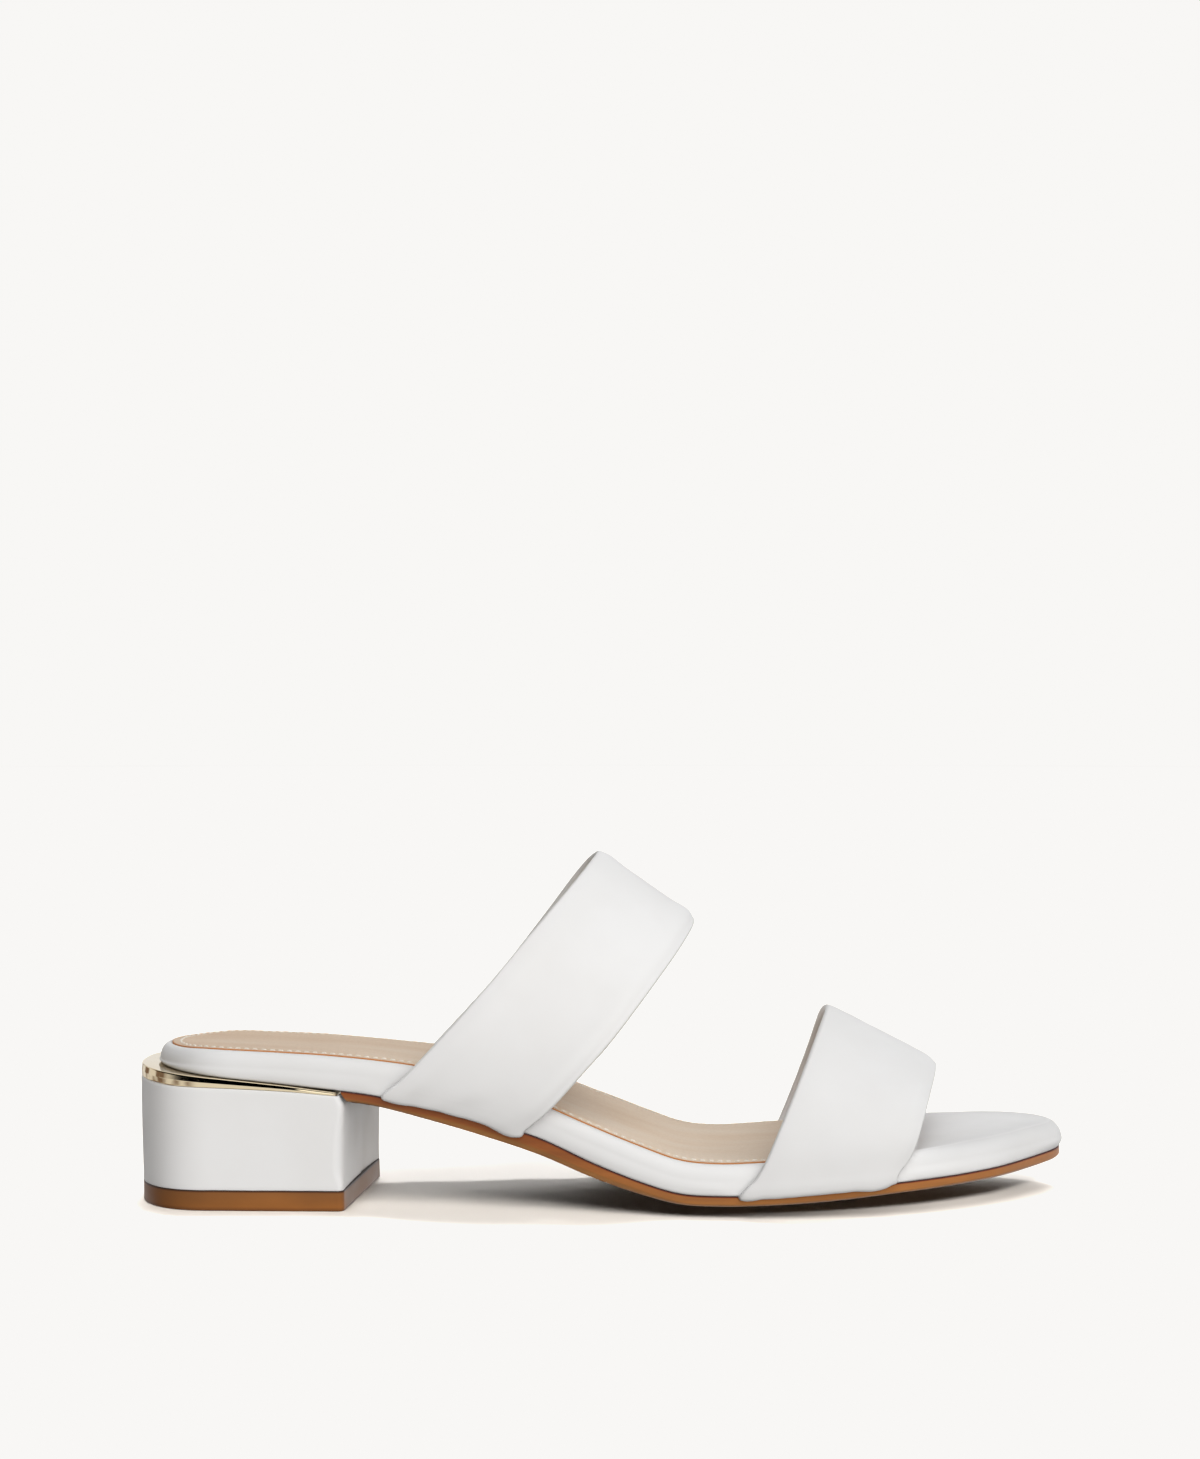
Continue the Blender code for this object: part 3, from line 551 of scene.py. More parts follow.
# tones down the lift's side: a painted shadow line under the cover at its top, and darker at its foot
LIFT_SIDE_WITH_SHADOW_LINE = [
    (0.0, (0.035, 0.016, 0.012)), (0.07, (0.08, 0.032, 0.016)), (0.14, (0.26, 0.105, 0.032)),
    (0.80, (0.30, 0.115, 0.030)), (0.96, (0.20, 0.075, 0.020)), (1.0, (0.12, 0.045, 0.015)),
]


def sole_tan():
    """Painted orange-brown edge with a dark line above and a duller bevel below, and painted shade in the waist."""
    made = Finish("sole_tan", (0.36, 0.13, 0.035), 0.4, specular=0.35)
    band = made.attribute("band")
    edge = made.mix(made.along(-25, 25), made.ramp(band, *SOLE_WAIST_PAINTED_SHADE), made.ramp(band, *SOLE_BALL))
    brushed = made.noise(160, 5, stretch=(0.25, 0.25, 2.0))
    streak = made.ramp(brushed, (0.3, (0.78, 0.74, 0.70)), (0.7, (1.16, 1.14, 1.12)))
    made.colour(made.mix(1.0, edge, streak, "MULTIPLY"))
    made.gloss(brushed, 0.30, 0.46)
    return made.bumped((brushed, 0.2, 0.15), (made.noise(900, 3, stretch=(0.4, 0.4, 2.0)), 0.2, 0.05))


def lift_rubber():
    """Tan rubber, with painted shade round the back and on its breast, and a painted shadow line where the cover ends.
    """
    made = Finish("lift_rubber", (0.25, 0.09, 0.026), 0.42, specular=0.3)
    clouds = made.noise(90, 5, stretch=(0.5, 0.5, 1.4))
    streak = made.ramp(clouds, (0.3, (0.84, 0.82, 0.80)), (0.7, (1.12, 1.1, 1.08)))
    side = made.mix(1.0, made.ramp(made.attribute("band"), *LIFT_SIDE_WITH_SHADOW_LINE), streak, "MULTIPLY")
    # painted shade: darker and greyer round the back
    side = made.mix(made.along(-122, -80), made.mix(1.0, side, (0.62, 0.63, 0.66), "MULTIPLY"), side)
    # painted shade on the lift's breast, darker and bluer
    breast = made.mix(1.0, side, (0.62, 0.72, 0.85), "MULTIPLY")
    made.colour(made.mix(made.along(-66.6, -66.2), side, breast))
    made.gloss(clouds, 0.34, 0.48)
    return made.bumped((clouds, 0.15, 0.15), (made.noise(1100, 3), 0.12, 0.04))


def polished_gold():
    """Pale gold plating, as bright and uneven as a stamped strip."""
    made = Finish("polished_gold", (0.83, 0.70, 0.48), 0.07, metallic=1.0)
    fine = made.noise(600, 3)
    made.gloss(fine, 0.05, 0.13, end=0.75)
    return made.bumped((made.noise(70, 2, stretch=(1, 1, 0.5)), 0.35, 0.5), (fine, 0.04, 0.05))


def thread_cream():
    made = Finish("thread_cream", (0.73, 0.66, 0.57), 0.6, specular=0.3)
    twist = made.noise(1800, 2)
    made.colour(made.ramp(twist, (0.35, (0.73, 0.66, 0.57)), (0.65, (0.86, 0.81, 0.74))))
    return made.bumped((twist, 0.4, 0.06))


# ---- making meshes

def linked(name, data):
    made = bpy.data.objects.new(name, data)
    bpy.context.scene.collection.objects.link(made)
    return made


def add_piece(name, mesh_data, materials, replaced=(), sharp_degrees=40):
    """Links a bmesh, in millimetres, as one smooth-shaded piece of the shoe."""
    bmesh.ops.remove_doubles(mesh_data, verts=mesh_data.verts, dist=0.0005)
    bmesh.ops.dissolve_degenerate(mesh_data, edges=mesh_data.edges, dist=0.0005)
    bmesh.ops.recalc_face_normals(mesh_data, faces=mesh_data.faces)
    bmesh.ops.scale(mesh_data, vec=(MM, MM, MM), verts=mesh_data.verts)
    mesh = bpy.data.meshes.new(name)
    mesh_data.to_mesh(mesh)
    mesh_data.free()
    mesh.shade_smooth()
    mesh.set_sharp_from_angle(angle=radians(sharp_degrees))
    for material in materials:
        mesh.materials.append(material)
    made = linked(name, mesh)
    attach(made, "root")
    if replaced:
        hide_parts(*replaced)
    return made


def loft(rings, tones=None, tone_name="band", cap_ends=False, material_of=None, into=None):
    """A skin over closed rings of equal length, with a tone per ring as an attribute."""
    made = bmesh.new() if into is None else into
    layer = made.verts.layers.float.new(tone_name) if tones and any(tones) else None
    rows = [[made.verts.new(point) for point in ring] for ring in rings]
    if layer:
        for row, tone in zip(rows, tones):
            for vertex in row:
                vertex[layer] = tone
    count = len(rows[0])
    for low, high in zip(rows, rows[1:]):
        for i in range(count):
            j = (i + 1) % count
            face = made.faces.new((low[i], low[j], high[j], high[i]))
            if material_of:
                face.material_index = material_of(i)
    if cap_ends:
        made.faces.new(rows[0])
        made.faces.new(reversed(rows[-1]))
    return made


Row = namedtuple("Row", "inset share height tone scarf bulge soft swell", defaults=(0.0,) * 5)


def skin(outline, rows, place=None, tone_name="band"):
    """A solid from rows of the outline: moved inwards by an inset and a share of the way to its spine, at a height
    function. place(row, x, y, outline's point) gives a point its place where there is more to it than that."""
    rings = []
    for row in rows:
        ring = zip(inset_ring(outline, row.inset, row.share), outline)
        rings.append([place(row, x, y, base) if place else (x, y, row.height(x, y)) for (x, y), base in ring])
    return loft(rings, [row.tone for row in rows], tone_name)


# ---- footbed and sock

def sock_recess(x):
    """Depth of the footbed's recess for the sock, which runs out in front of the sock."""
    return ramp(x, SOCK_END + 7, SOCK_END + 3)


def padding(x, y):
    """Faint unevenness of padded leather."""
    return 0.10 * uneven(x / 21, y / 15, 3.1) + 0.05 * uneven(x / 8, y / 7, 9.4)


def footbed_cover(leather):
    """The padded footbed in its white cover, with a rounded side and a rolled edge."""

    def top(drop):
        return lambda x, y: bed_height(x, y) + padding(x, y) - drop

    def border(more):
        """The border beside the sock's edge; in front of the sock it is part of the smooth top."""
        return lambda x, y: top(ROLL_DROP + (BORDER_DROP - ROLL_DROP + more) * sock_recess(x))(x, y)

    def recessed(x, y):
        flat = bed_height(x, y) - BORDER_DROP - 0.8
        return border(0)(x, y) + (flat - border(0)(x, y)) * sock_recess(x)

    def place(row, x, y, base):
        z = row.height(x, y)
        inwards = Vector((base.spine_x - base.x, base.spine_y - base.y)).normalized()
        shift = row.soft * TOE_SOFTER * ramp(base.x, *TOE_SOFT) * (1 - 0.5 * ramp(base.x, *TOE_LESS_SOFT))
        shift -= row.swell * TOE_SWELL * ramp(base.x, *TOE_SWOLLEN)
        x, y = x + inwards.x * shift, y + inwards.y * shift
        if row.bulge:
            out = Vector((x - base.spine_x, y - base.spine_y)).normalized()
            amount = row.bulge * (1 + 0.5 * uneven(x / 14, y / 14, 1.7)) * (1 - 0.8 * strap_zone(x, y))
            x, y = x + out.x * amount, y + out.y * amount
        return x, y, z

    lower = ((0, 1, 0), (6, 0.4, 0), (6, 0, 0), (1, 0, 0), (0.35, 0, 0.08), (0.08, 0, 0.3))
    rows = [Row(inset, share, over_feather(lift)) for inset, share, lift in lower]
    # each row's tone goes into the band attribute, which masks the painted shade on the toe's roll
    for share in (i / 8 for i in range(9)):
        bulge = SIDE_BULGE * sin(pi * min(1.0, share * 0.92 + 0.08))
        height = blend(over_feather(SIDE_FROM), raised(bed_height, -ROLL_DEPTH), share)
        rows.append(Row(0, 0, height, 0.25 * ramp(share, 0.4, 1.0), bulge=bulge, swell=sin(pi / 2 * share)))
    for turn in (pi / 2 * i / 12 for i in range(1, 13)):
        drop = ROLL_DEPTH * (1 - sin(turn)) + ROLL_DROP * sin(turn)
        tone = 0.25 + 0.75 * sin(turn) if turn < 0.8 * pi / 2 else 0.5
        over = 1 - cos(turn)
        rows.append(Row(ROLL_REACH * over, 0, top(drop), tone, soft=over, swell=1 - sin(turn)))
    step = SOCK_INSET - SEAM
    for inset, height, tone in ((-0.2, border(0), 0.49), (0, border(0.1), 0.47), (0.1, recessed, 0.46)):
        rows.append(Row(step + inset, 0, height, tone, soft=TOP_SOFT))
    for share in (0.0, 0.2, 0.4, 0.6, 0.8, 1.0):
        rows.append(Row(step + 5, share, recessed, 0.28 - 0.13 * ramp(share, 0, 0.4), soft=TOP_SOFT * (1 - share)))
    made = skin(closed_bed_outline(), rows, place)
    piece = add_piece("footbed_cover", made, [leather], ["footbed"])
    return piece


def sock_outline():
    """The footbed's outline, inset, and closed by a bowed edge under the front strap."""
    full = closed_bed_outline()
    spine_end = SOCK_END - BED_SPINE_FRONT
    corner_x = SOCK_END - SOCK_END_BOW
    sides, front = [], []
    for p, (x, y) in zip(full, inset_ring(full, SOCK_INSET, 0)):
        if x < corner_x - 1.5:
            spine = min(p.spine_x, spine_end)
            sides.append(Point(x, y, spine, axis_y(spine)))
    low, high = lateral_width(corner_x) + SOCK_INSET, medial_width(corner_x) - SOCK_INSET
    for i in range(1, SOCK_FRONT_STEPS):
        share = -1 + 2 * i / SOCK_FRONT_STEPS
        x = corner_x + SOCK_END_BOW * (1 - abs(share) ** 2.4)
        front.append(Point(x, (low + high) / 2 + share * (high - low) / 2, spine_end, axis_y(spine_end)))
    turn = 1 + max(i for i, p in enumerate(sides) if p.y < axis_y(p.x))
    return sides[:turn] + front + sides[turn:]


def sock_top(x, y, inset):
    """Height of the sock's face, pressed down at its edge and along the stitches."""
    edge = SOCK_EDGE_DROP * (1 - ramp(inset, 0, 4.5))
    groove = STITCH_GROOVE * hump(inset, STITCH_INSET, 0.55)
    return bed_height(x, y) + SOCK_OVER + 0.12 + padding(x, y) - edge - groove


def sock_cover(leather):
    def face(inset, drop=0.0):
        return lambda x, y: sock_top(x, y, inset) - drop

    under = raised(bed_height, -0.6)
    rows = [Row(0, 1, under, 1.0), Row(5, 0, under, 1.0), Row(0.05, 0, under, 1.0)]
    for inset, drop, tone in ((0, 0.32, 1.0), (0, 0.16, 0.9), (0.06, 0.05, 0.8), (0.2, 0, 0.6)):
        rows.append(Row(inset, 0, face(0, drop), tone))
    for inset in (0.4, 0.7, 1.1, 1.5, 1.8, 2.05, 2.3, 2.55, 2.8, 3.2, 3.8, 4.5, 5.5):
        rows.append(Row(inset, 0, face(inset), max(0.0, 0.45 - 0.5 * inset)))
    rows += [Row(5.5, i / 14, face(9)) for i in range(1, 15)]
    made = skin(sock_outline(), rows, tone_name="edge")
    return add_piece("sock_cover", made, [leather], ["insole_sock"])


def sock_stitching(thread):
    """The row of stitches round the sock, each one dipping into the leather at both ends."""
    line = [Vector((x, y, 0)) for x, y in inset_ring(sock_outline(), STITCH_INSET, 0)]
    line.append(line[0])
    lengths = [0.0]
    for a, b in zip(line, line[1:]):
        lengths.append(lengths[-1] + (b - a).length)
    total = lengths[-1]

    def along(distance):
        i = min(max(j for j in range(len(line) - 1) if lengths[j] <= distance), len(line) - 2)
        span = lengths[i + 1] - lengths[i]
        return line[i].lerp(line[i + 1], (distance - lengths[i]) / span if span else 0.0)

    def section(start, share):
        """The thread's outline, a share of the way along a stitch."""
        place = start + STITCH_LENGTH * share
        middle = along(min(max(place, 0.0), total - 0.01))
        forward = (along(min(max(place + 0.2, 0.2), total)) - middle).normalized()
        aside = Vector((-forward.y, forward.x, 0))
        dip = (2 * share - 1) ** 4
        middle.z = sock_top(middle.x, middle.y, STITCH_INSET) + STITCH_RISE - STITCH_DIP * dip
        radius = STITCH_RADIUS * (1 - 0.35 * dip)
        turns = [2 * pi * k / 6 for k in range(6)]
        return [
            middle + aside * radius * cos(turn) + Vector((0, 0, radius * 0.8 * sin(turn)))
            for turn in turns
        ]

    made = bmesh.new()
    count = round(total / STITCH_PITCH)
    for number in range(count):
        start = number * total / count + 0.2 * uneven(number * 0.7, 0)
        loft([section(start, i / 6) for i in range(7)], cap_ends=True, into=made)
    return add_piece("sock_stitching", made, [thread], sharp_degrees=80)


# ---- outsole

def outsole_skin(tan):
    """Outsole with an upright side, a bevel below it that is wide in the waist, and plain tread."""
    tail = BREAST_X + SCARF_GAP - 0.1

    def slanted(p):
        return p._replace(x=p.x + (breast_x(p.y) - BREAST_X) * ramp(p.x, tail + TAIL_TURN, tail))

    lateral, medial = ([slanted(p) for p in half] for half in bed_outline(tail, TOE_END))
    outline = lateral + medial[1:] + between(medial[-1], lateral[0], BREAST_STEPS)

    def bevel(x):
        return 0.7 + 0.8 * ramp(x, 26, 0) * ramp(x, -60, -30)

    def rim_z(x):
        return feather(x) - GAP - sole_thickness(x)

    def rim(lift, bevels=0.0):
        return lambda x, y: rim_z(x) + bevels * bevel(x) + lift

    def underside(x, y):
        across = abs(y - axis_y(x)) / (abs(side_y(x, -1 if y < axis_y(x) else 1) - axis_y(x)) + 0.01)
        ball = ramp(x, CAMBER_FROM, CAMBER_FULL) * ramp(x, CAMBER_TO, CAMBER_FADE)
        drop = CAMBER_SHANK + (CAMBER_BALL - CAMBER_SHANK) * ball
        return max(rim_z(x) - drop * ramp(across, 1, FLAT_SHARE), 0.0)

    def place(row, x, y, _):
        x -= row.scarf * SCARF * ramp(x, tail + 8, tail)
        return x, y, row.height(x, y)

    rows = [Row(0, 1, underside, 1.0)]
    rows += [Row(6, share, underside, 1.0) for share in (0.85, 0.72, 0.58, 0.45, 0.3, 0.15, 0)]
    rows += [
        Row(3.5, 0, underside, 1.0),
        Row(1.6, 0, rim(-0.12), 0.98),
        Row(0.75, 0, rim(0.05), 0.9),
        Row(0.35, 0, rim(0, 0.45), 0.8, 0.1),
        Row(0.04, 0, rim(-0.08, 1), 0.68, 0.22),
        Row(0, 0, rim(0.05, 1), 0.6, 0.28),
    ]
    for share in (i / 6 for i in range(1, 6)):
        height = blend(rim(0.05, 1), over_feather(-SEAM - 0.35), share)
        rows.append(Row(-0.05 * sin(pi * share), 0, height, 0.6 - 0.36 * share, 0.28 + 0.72 * share))
    rows += [Row(0, 0, over_feather(-SEAM - 0.32), 0.16, 1), Row(0.05, 0, over_feather(-SEAM - 0.10), 0.05, 1)]
    upper = over_feather(-SEAM)
    rows += [Row(inset, share, upper, 0.0, 1) for inset, share in ((0.25, 0), (3.5, 0), (6.5, 0), (6.5, 0.45))]
    rows.append(Row(0, 1, upper))
    made = skin(outline, rows, place)
    piece = add_piece("outsole_skin", made, [tan], ["outsole"])
    piece.visible_diffuse = False  # its lit underside would brighten the floor's shadow
    return piece


# ---- heel

def heel_top(x):
    """Top of the heel block, under the wedge-shaped rim plate."""
    share = min(max((RIM_TO - x) / (RIM_TO - RIM_FROM), 0.0), 1.0)
    return feather(x) - 2 * GAP - RIM_FRONT - (RIM_BACK - RIM_FRONT) * share**RIM_BEND


def corner_pull(radius, reach):
    """How far a corner of this radius lies behind the breast, a reach in from the side."""
    inside = max(0.0, radius - max(reach, 0.0))
    return radius - sqrt(max(0.0, radius**2 - inside**2))


def heel_skin(rows, front_gap=0.0, covered=False):
    """The skin of a piece of the heel. If covered in leather, its front corners are rounder, its breast is hollow with
    an upright seam, and it has the scarf for the outsole."""
    half = HEEL_WIDTH / 2

    def place(row, x, y, _):
        z = row.height(x, y)
        front = ease((x - BREAST_X + 20) / 18)
        if covered and row.share < 1:
            top = heel_top(x)
            growth = CORNER_GROWTH * ramp(z, top - 1, top - 14) * ramp(z, LIFT_HEIGHT, LIFT_HEIGHT + 6)
            radius = HEEL_CORNER + growth * (1.0 if y < HEEL_Y else 0.3)
            limit = breast_x(y) - row.inset - corner_pull(radius, half - abs(y - HEEL_Y) - row.inset)
            x = min(x, limit + 0.03 * (x - limit))
        if covered and front > 0.9:
            middle = max(0.0, 1 - ((y - HEEL_Y) / half) ** 2)
            seam = BREAST_SEAM * hump(y, BREAST_SEAM_Y, 0.5)
            seam += BREAST_SEAM_STEP * ramp(y, BREAST_SEAM_Y + 0.4, BREAST_SEAM_Y) * middle
            x += (seam - BREAST_HOLLOW * middle**0.8) * (1 - row.share)
        x += HEEL_TAPER * (1 - z / feather(HEEL_BACK)) * (1 - front) - front_gap * front
        if covered:
            x -= front * SCARF * max(0.0, 1 - (feather(x) - z - SCARF_GAP) / SCARF_DEPTH)
        return x, y, z

    return skin(heel_outline(), rows, place)


def upright_rows(low, high, low_bevel, high_bevel, steps, outwards):
    """Rows of a block between two height functions, with rounded edges, its tone 1 below and 0 above."""
    rows = [Row(0, 1, low, 1.0), Row(3, 0, low, 1.0)]
    for i, (lift, inset) in enumerate(rounded(low_bevel, 0, 30, 60)):
        rows.append(Row(inset, 0, raised(low, lift), 1.0 - 0.02 * i))
    for share in (i / steps for i in range(steps + 1)):
        height = blend(raised(low, low_bevel), raised(high, -high_bevel), share)
        rows.append(Row(-outwards(share), 0, height, 0.95 - 0.9 * share))
    for i, (inset, drop) in enumerate(rounded(high_bevel, 30, 60, 90)):
        rows.append(Row(inset, 0, raised(high, -drop), 0.05 * (2 - i) / 3))
    return rows + [Row(8, 0, high), Row(0, 1, high)]


def trimmed(x, y):
    """How unevenly the cover is trimmed along the lift."""
    return 0.05 * uneven(x / 3, y / 3, 0.5)


def heel_lift(rubber):
    rows = upright_rows(level(0.0), raised(trimmed, LIFT_HEIGHT + 0.16), 0.35, 0.12, 8, lambda s: 0.08 - 0.10 * s)
    return add_piece("heel_lift", heel_skin(rows), [rubber], ["heel_top_lift"])


def heel_cover(leather):
    """The block's white cover, its sides drawn tight."""
    low, high = raised(trimmed, LIFT_HEIGHT + 0.2), lambda x, y: heel_top(x) + 0.15
    rows = upright_rows(low, high, 0.25, 0.35, 26, lambda s: 0.10 * sin(pi * s))
    return add_piece("heel_cover", heel_skin(rows, covered=True), [leather], ["heel_block"], 50)


def heel_rim_plate(gold):
    """The rim: its side is upright below and leans in above, to a rounded upper edge."""

    def low(x, y):
        return heel_top(x) + 0.25

    def leaning(share):
        return 0.02 + RIM_LEAN * max(0.0, share - RIM_UPRIGHT) + 0.10 * max(0.0, 0.3 - share) ** 2

    high = over_feather(-0.12)
    rows = [Row(0, 1, low), Row(2, 0, low), Row(0.18, 0, low), Row(0.05, 0, raised(low, 0.06))]
    for share in (i / 18 for i in range(19)):
        rows.append(Row(leaning(share), 0, blend(raised(low, 0.12), raised(high, -RIM_ROUND), share)))
    for inset, drop in rounded(RIM_ROUND, 25, 50, 75, 90):
        rows.append(Row(leaning(1) + inset, 0, raised(high, -drop)))
    rows += [Row(6, 0, high), Row(6, 0.5, high), Row(0, 1, high)]
    made = heel_skin(rows, front_gap=SCARF + 0.4)
    return add_piece("heel_rim_plate", made, [gold], ["heel_rim"], 35)


# ---- straps

def lean_out(strap, side, height):
    """How far a strap leans outwards over the footbed's side, on its way up."""
    return side * strap.lean[side > 0] * max(0.0, height - LEAN_FROM)


def arch_point(strap, side, share, wall_x, crest_height):
    """(y, height) on a strap's inner face, a share of the way from the side wall to the crest."""
    foot_y = side_y(wall_x, side) + side * GAP + lean_out(strap, side, STRAP_WALL)
    rise = crest_height - STRAP_WALL
    reach = foot_y - strap.crest_y
    belly = side * strap.lean[side > 0] * rise * strap.side_pull
    controls = [
        (foot_y, STRAP_WALL),
        (foot_y + belly, STRAP_WALL + rise * strap.side_pull),
        (strap.crest_y + reach * strap.top_pull, crest_height),
        (strap.crest_y, crest_height),
    ]
    weights = [(1 - share) ** 3, 3 * share * (1 - share) ** 2, 3 * share**2 * (1 - share), share**3]
    return tuple(sum(w * c[i] for w, c in zip(weights, controls)) for i in (0, 1))


def strap_hang(strap, across, x):
    """How far the fold at a strap's foot hangs over the sole's top line."""
    drawn = 0.55 * ramp(across, 0.91, 1.0) if strap.drawn else 0.0
    return humps(across, strap.hangs) - drawn + 0.10 * uneven(x / 3.5, 0.3, 5.0)


def strap_path(strap, across):
    """Points and thicknesses along a strap's inner face, from its lateral to its medial end."""
    edge = Edge(*(a + (b - a) * across for a, b in zip(strap.back, strap.front)))
    base = feather(edge.foot_x)
    crest_height = edge.crest_z - base
    lateral_y = side_y(edge.foot_x, -1)
    span = side_y(edge.foot_x, 1) - lateral_y
    crest_shift = strap.skew * (strap.crest_y - lateral_y) / span
    lean = (edge.crest_x - crest_shift - edge.foot_x) / crest_height

    def place(height, y):
        """Where along the shoe the strap is at this height and width."""
        flare = edge.flare * max(0.0, 1 - height / strap.flare_reach) ** strap.flare_power
        arch = 4 * height / crest_height * (1 - height / crest_height)
        skew = strap.skew * min(max((y - lateral_y) / span, 0.0), 1.0)
        aside = min(max(2 * (y - strap.crest_y) / span, -1.0), 1.0)
        twist = TWIST_SCALE * strap.twist * aside * (1 - aside**2)
        twist += FAR_BOW_SCALE * strap.far_bow * max(0.0, aside) * (1 - aside) ** 2
        belly = strap.far_belly * arch * ramp(aside, 0, 0.35)
        drawn = strap.drawn * ramp(across, 0.6, 1.0) * ramp(height, 10, 1.5)
        return edge.foot_x + lean * height + edge.bow * arch - flare + skew - twist - belly - drawn

    def level(height, x):
        """Its z: it follows the sole at its foot, and then runs straight up to its crest."""
        hang = strap_hang(strap, across, x) * ramp(height, 7, 2)
        return height + feather(x) + (base - feather(x)) * ramp(height, LEVEL_FROM, LEVEL_TO) - hang

    def half(side):
        path = []
        foot_y = side_y(edge.foot_x, side)
        for inset, height, thickness in TUCK:
            x = place(height, foot_y)
            path.append((x, side_y(x, side) - side * inset, height, thickness))
        for height in TUCK_TOP:
            x = place(height, foot_y)
            path.append((x, side_y(x, side) + side * GAP + lean_out(strap, side, height), height, STRAP_THICK))
        wall_x = place(STRAP_WALL, foot_y)
        for i in range(ARCH_STEPS):
            y, height = arch_point(strap, side, i / ARCH_STEPS, wall_x, crest_height)
            path.append((place(height, y), y, height, STRAP_THICK))
        return path

    crest = (place(crest_height, strap.crest_y), strap.crest_y, crest_height, STRAP_THICK)
    path = half(-1) + [crest] + half(1)[::-1]
    return [(Vector((x, y, level(height, x))), thickness) for x, y, height, thickness in path]


def finer(path):
    """The same path with finer steps, on a Catmull-Rom curve through its points."""
    found = []
    for i in range(len(path) - 1):
        p0, p1 = path[max(i - 1, 0)], path[i]
        p2, p3 = path[i + 1], path[min(i + 2, len(path) - 1)]
        for k in range(ARCH_FINE):
            t = k / ARCH_FINE
            place, thick = (
                0.5 * (2 * b + (c - a) * t + (2 * a - 5 * b + 4 * c - d) * t**2 + (3 * b - a - 3 * c + d) * t**3)
                for a, b, c, d in zip(p0, p1, p2, p3)
            )
            found.append((place, thick))
    found.append(path[-1])
    for _ in range(SOFTENING):
        places = [place for place, _ in found]
        for i in range(FOLD_POINTS, len(found) - FOLD_POINTS):
            found[i] = ((places[i - 1] + 2 * places[i] + places[i + 1]) / 4, found[i][1])
    return found


def rounded_edge(start, end, outwards):
    """Points of the half circle that turns from one face to the other, bulging outwards."""
    middle, radius = (start + end) / 2, (start - end) / 2
    bulge = (outwards - radius * outwards.dot(radius) / radius.length_squared).normalized() * radius.length
    turns = [pi * i / (EDGE_STEPS + 1) for i in range(1, EDGE_STEPS + 1)]
    return [middle + radius * cos(turn) + bulge * sin(turn) for turn in turns]


def crown(strap, across):
    """Fullness of the leather over the lining, with the rear strap's two fuller edges."""
    return 0.2 * (1 - (2 * across - 1) ** 4) + humps(across, strap.crowns)


def edge_curl(strap, across):
    """How far a strap's turned edges curl down towards the foot."""
    back, front = max(0.0, 1 - across / strap.curl), max(0.0, 1 - (1 - across) / strap.curl)
    return 0.08 * back**2 + 0.6 * front**2


def crease_depth(name, along, across):
    """How deep the outer face lies here: the creases, and at half depth their mirror images on the medial side."""
    depth = 0.0
    for crease in CREASES[name]:
        sides = hump(along, crease.along, crease.length) + 0.5 * hump(along, 1 - crease.along, crease.length)
        depth += crease.depth * hump(across, crease.across, crease.width) * sides
    return depth


def strap_cover(name, leather, lining):
    """A strap: white leather outside, turned round both edges, and lining inside."""
    strap = STRAPS[name]
    paths = [finer(strap_path(strap, i / STRAP_STEPS)) for i in range(STRAP_STEPS + 1)]
    last = len(paths[0]) - 1
    rings = []
    for i in range(last + 1):
        before, after = max(i - 1, 0), min(i + 1, last)
        flat = ramp(abs(2 * i / last - 1), 0.85, 0.6)  # 1 over the top, 0 at the feet
        inner, outer = [], []
        for j, path in enumerate(paths):
            point, thickness = path[i]
            along = path[after][0] - path[before][0]
            over = paths[min(j + 1, STRAP_STEPS)][i][0] - paths[max(j - 1, 0)][i][0]
            normal = over.cross(along).normalized()
            across = j / STRAP_STEPS
            crowned = crown(strap, across) * min(1.0, thickness / STRAP_THICK)
            soft = 0.10 * noise.noise(point / 17) + 0.04 * noise.noise(point / 6)
            soft = (soft - crease_depth(name, i / last, across)) * ramp(thickness, 1.6, 2.0)
            point = point - normal * edge_curl(strap, across) * flat
            inner.append(point)
            fold = 1.0  # where the strap turns under the footbed, its outer face makes a squarer corner
            if normal.z < 0:
                fold = (hypot(normal.x, normal.y) ** 6 + normal.z**6) ** (-1 / 6)
            outer.append(point + normal * (thickness * fold + crowned + soft))
        ring = inner + rounded_edge(inner[-1], outer[-1], inner[-1] - inner[-2])
        ring += outer[::-1] + rounded_edge(outer[0], inner[0], inner[0] - inner[1])
        rings.append(ring)
    made = loft(rings, cap_ends=True, material_of=lambda i: int(0 < i < STRAP_STEPS - 1))
    return add_piece(name + "_cover", made, [leather, lining], [name], 60)


# ---- stage

PAPER = (0.939, 0.930, 0.913)  # the plain pale sweep, as exposed
FLOOR_COLOUR = (0.90, 0.897, 0.89)
FLOOR_RADIUS = 8
NEUTRAL, WARM = (1.0, 1.0, 1.0), (1.0, 0.95, 0.89)
FLOOR_FRONT = (1.0, 0.92, 0.84)
FLOOR_BACK = (1.0, 0.96, 0.92)
FLOOR_BROWN = (1.0, 0.62, 0.40)
STUDIO_BROWN = (0.15, 0.07, 0.025)  # things beside the shoe, which its gold mirrors

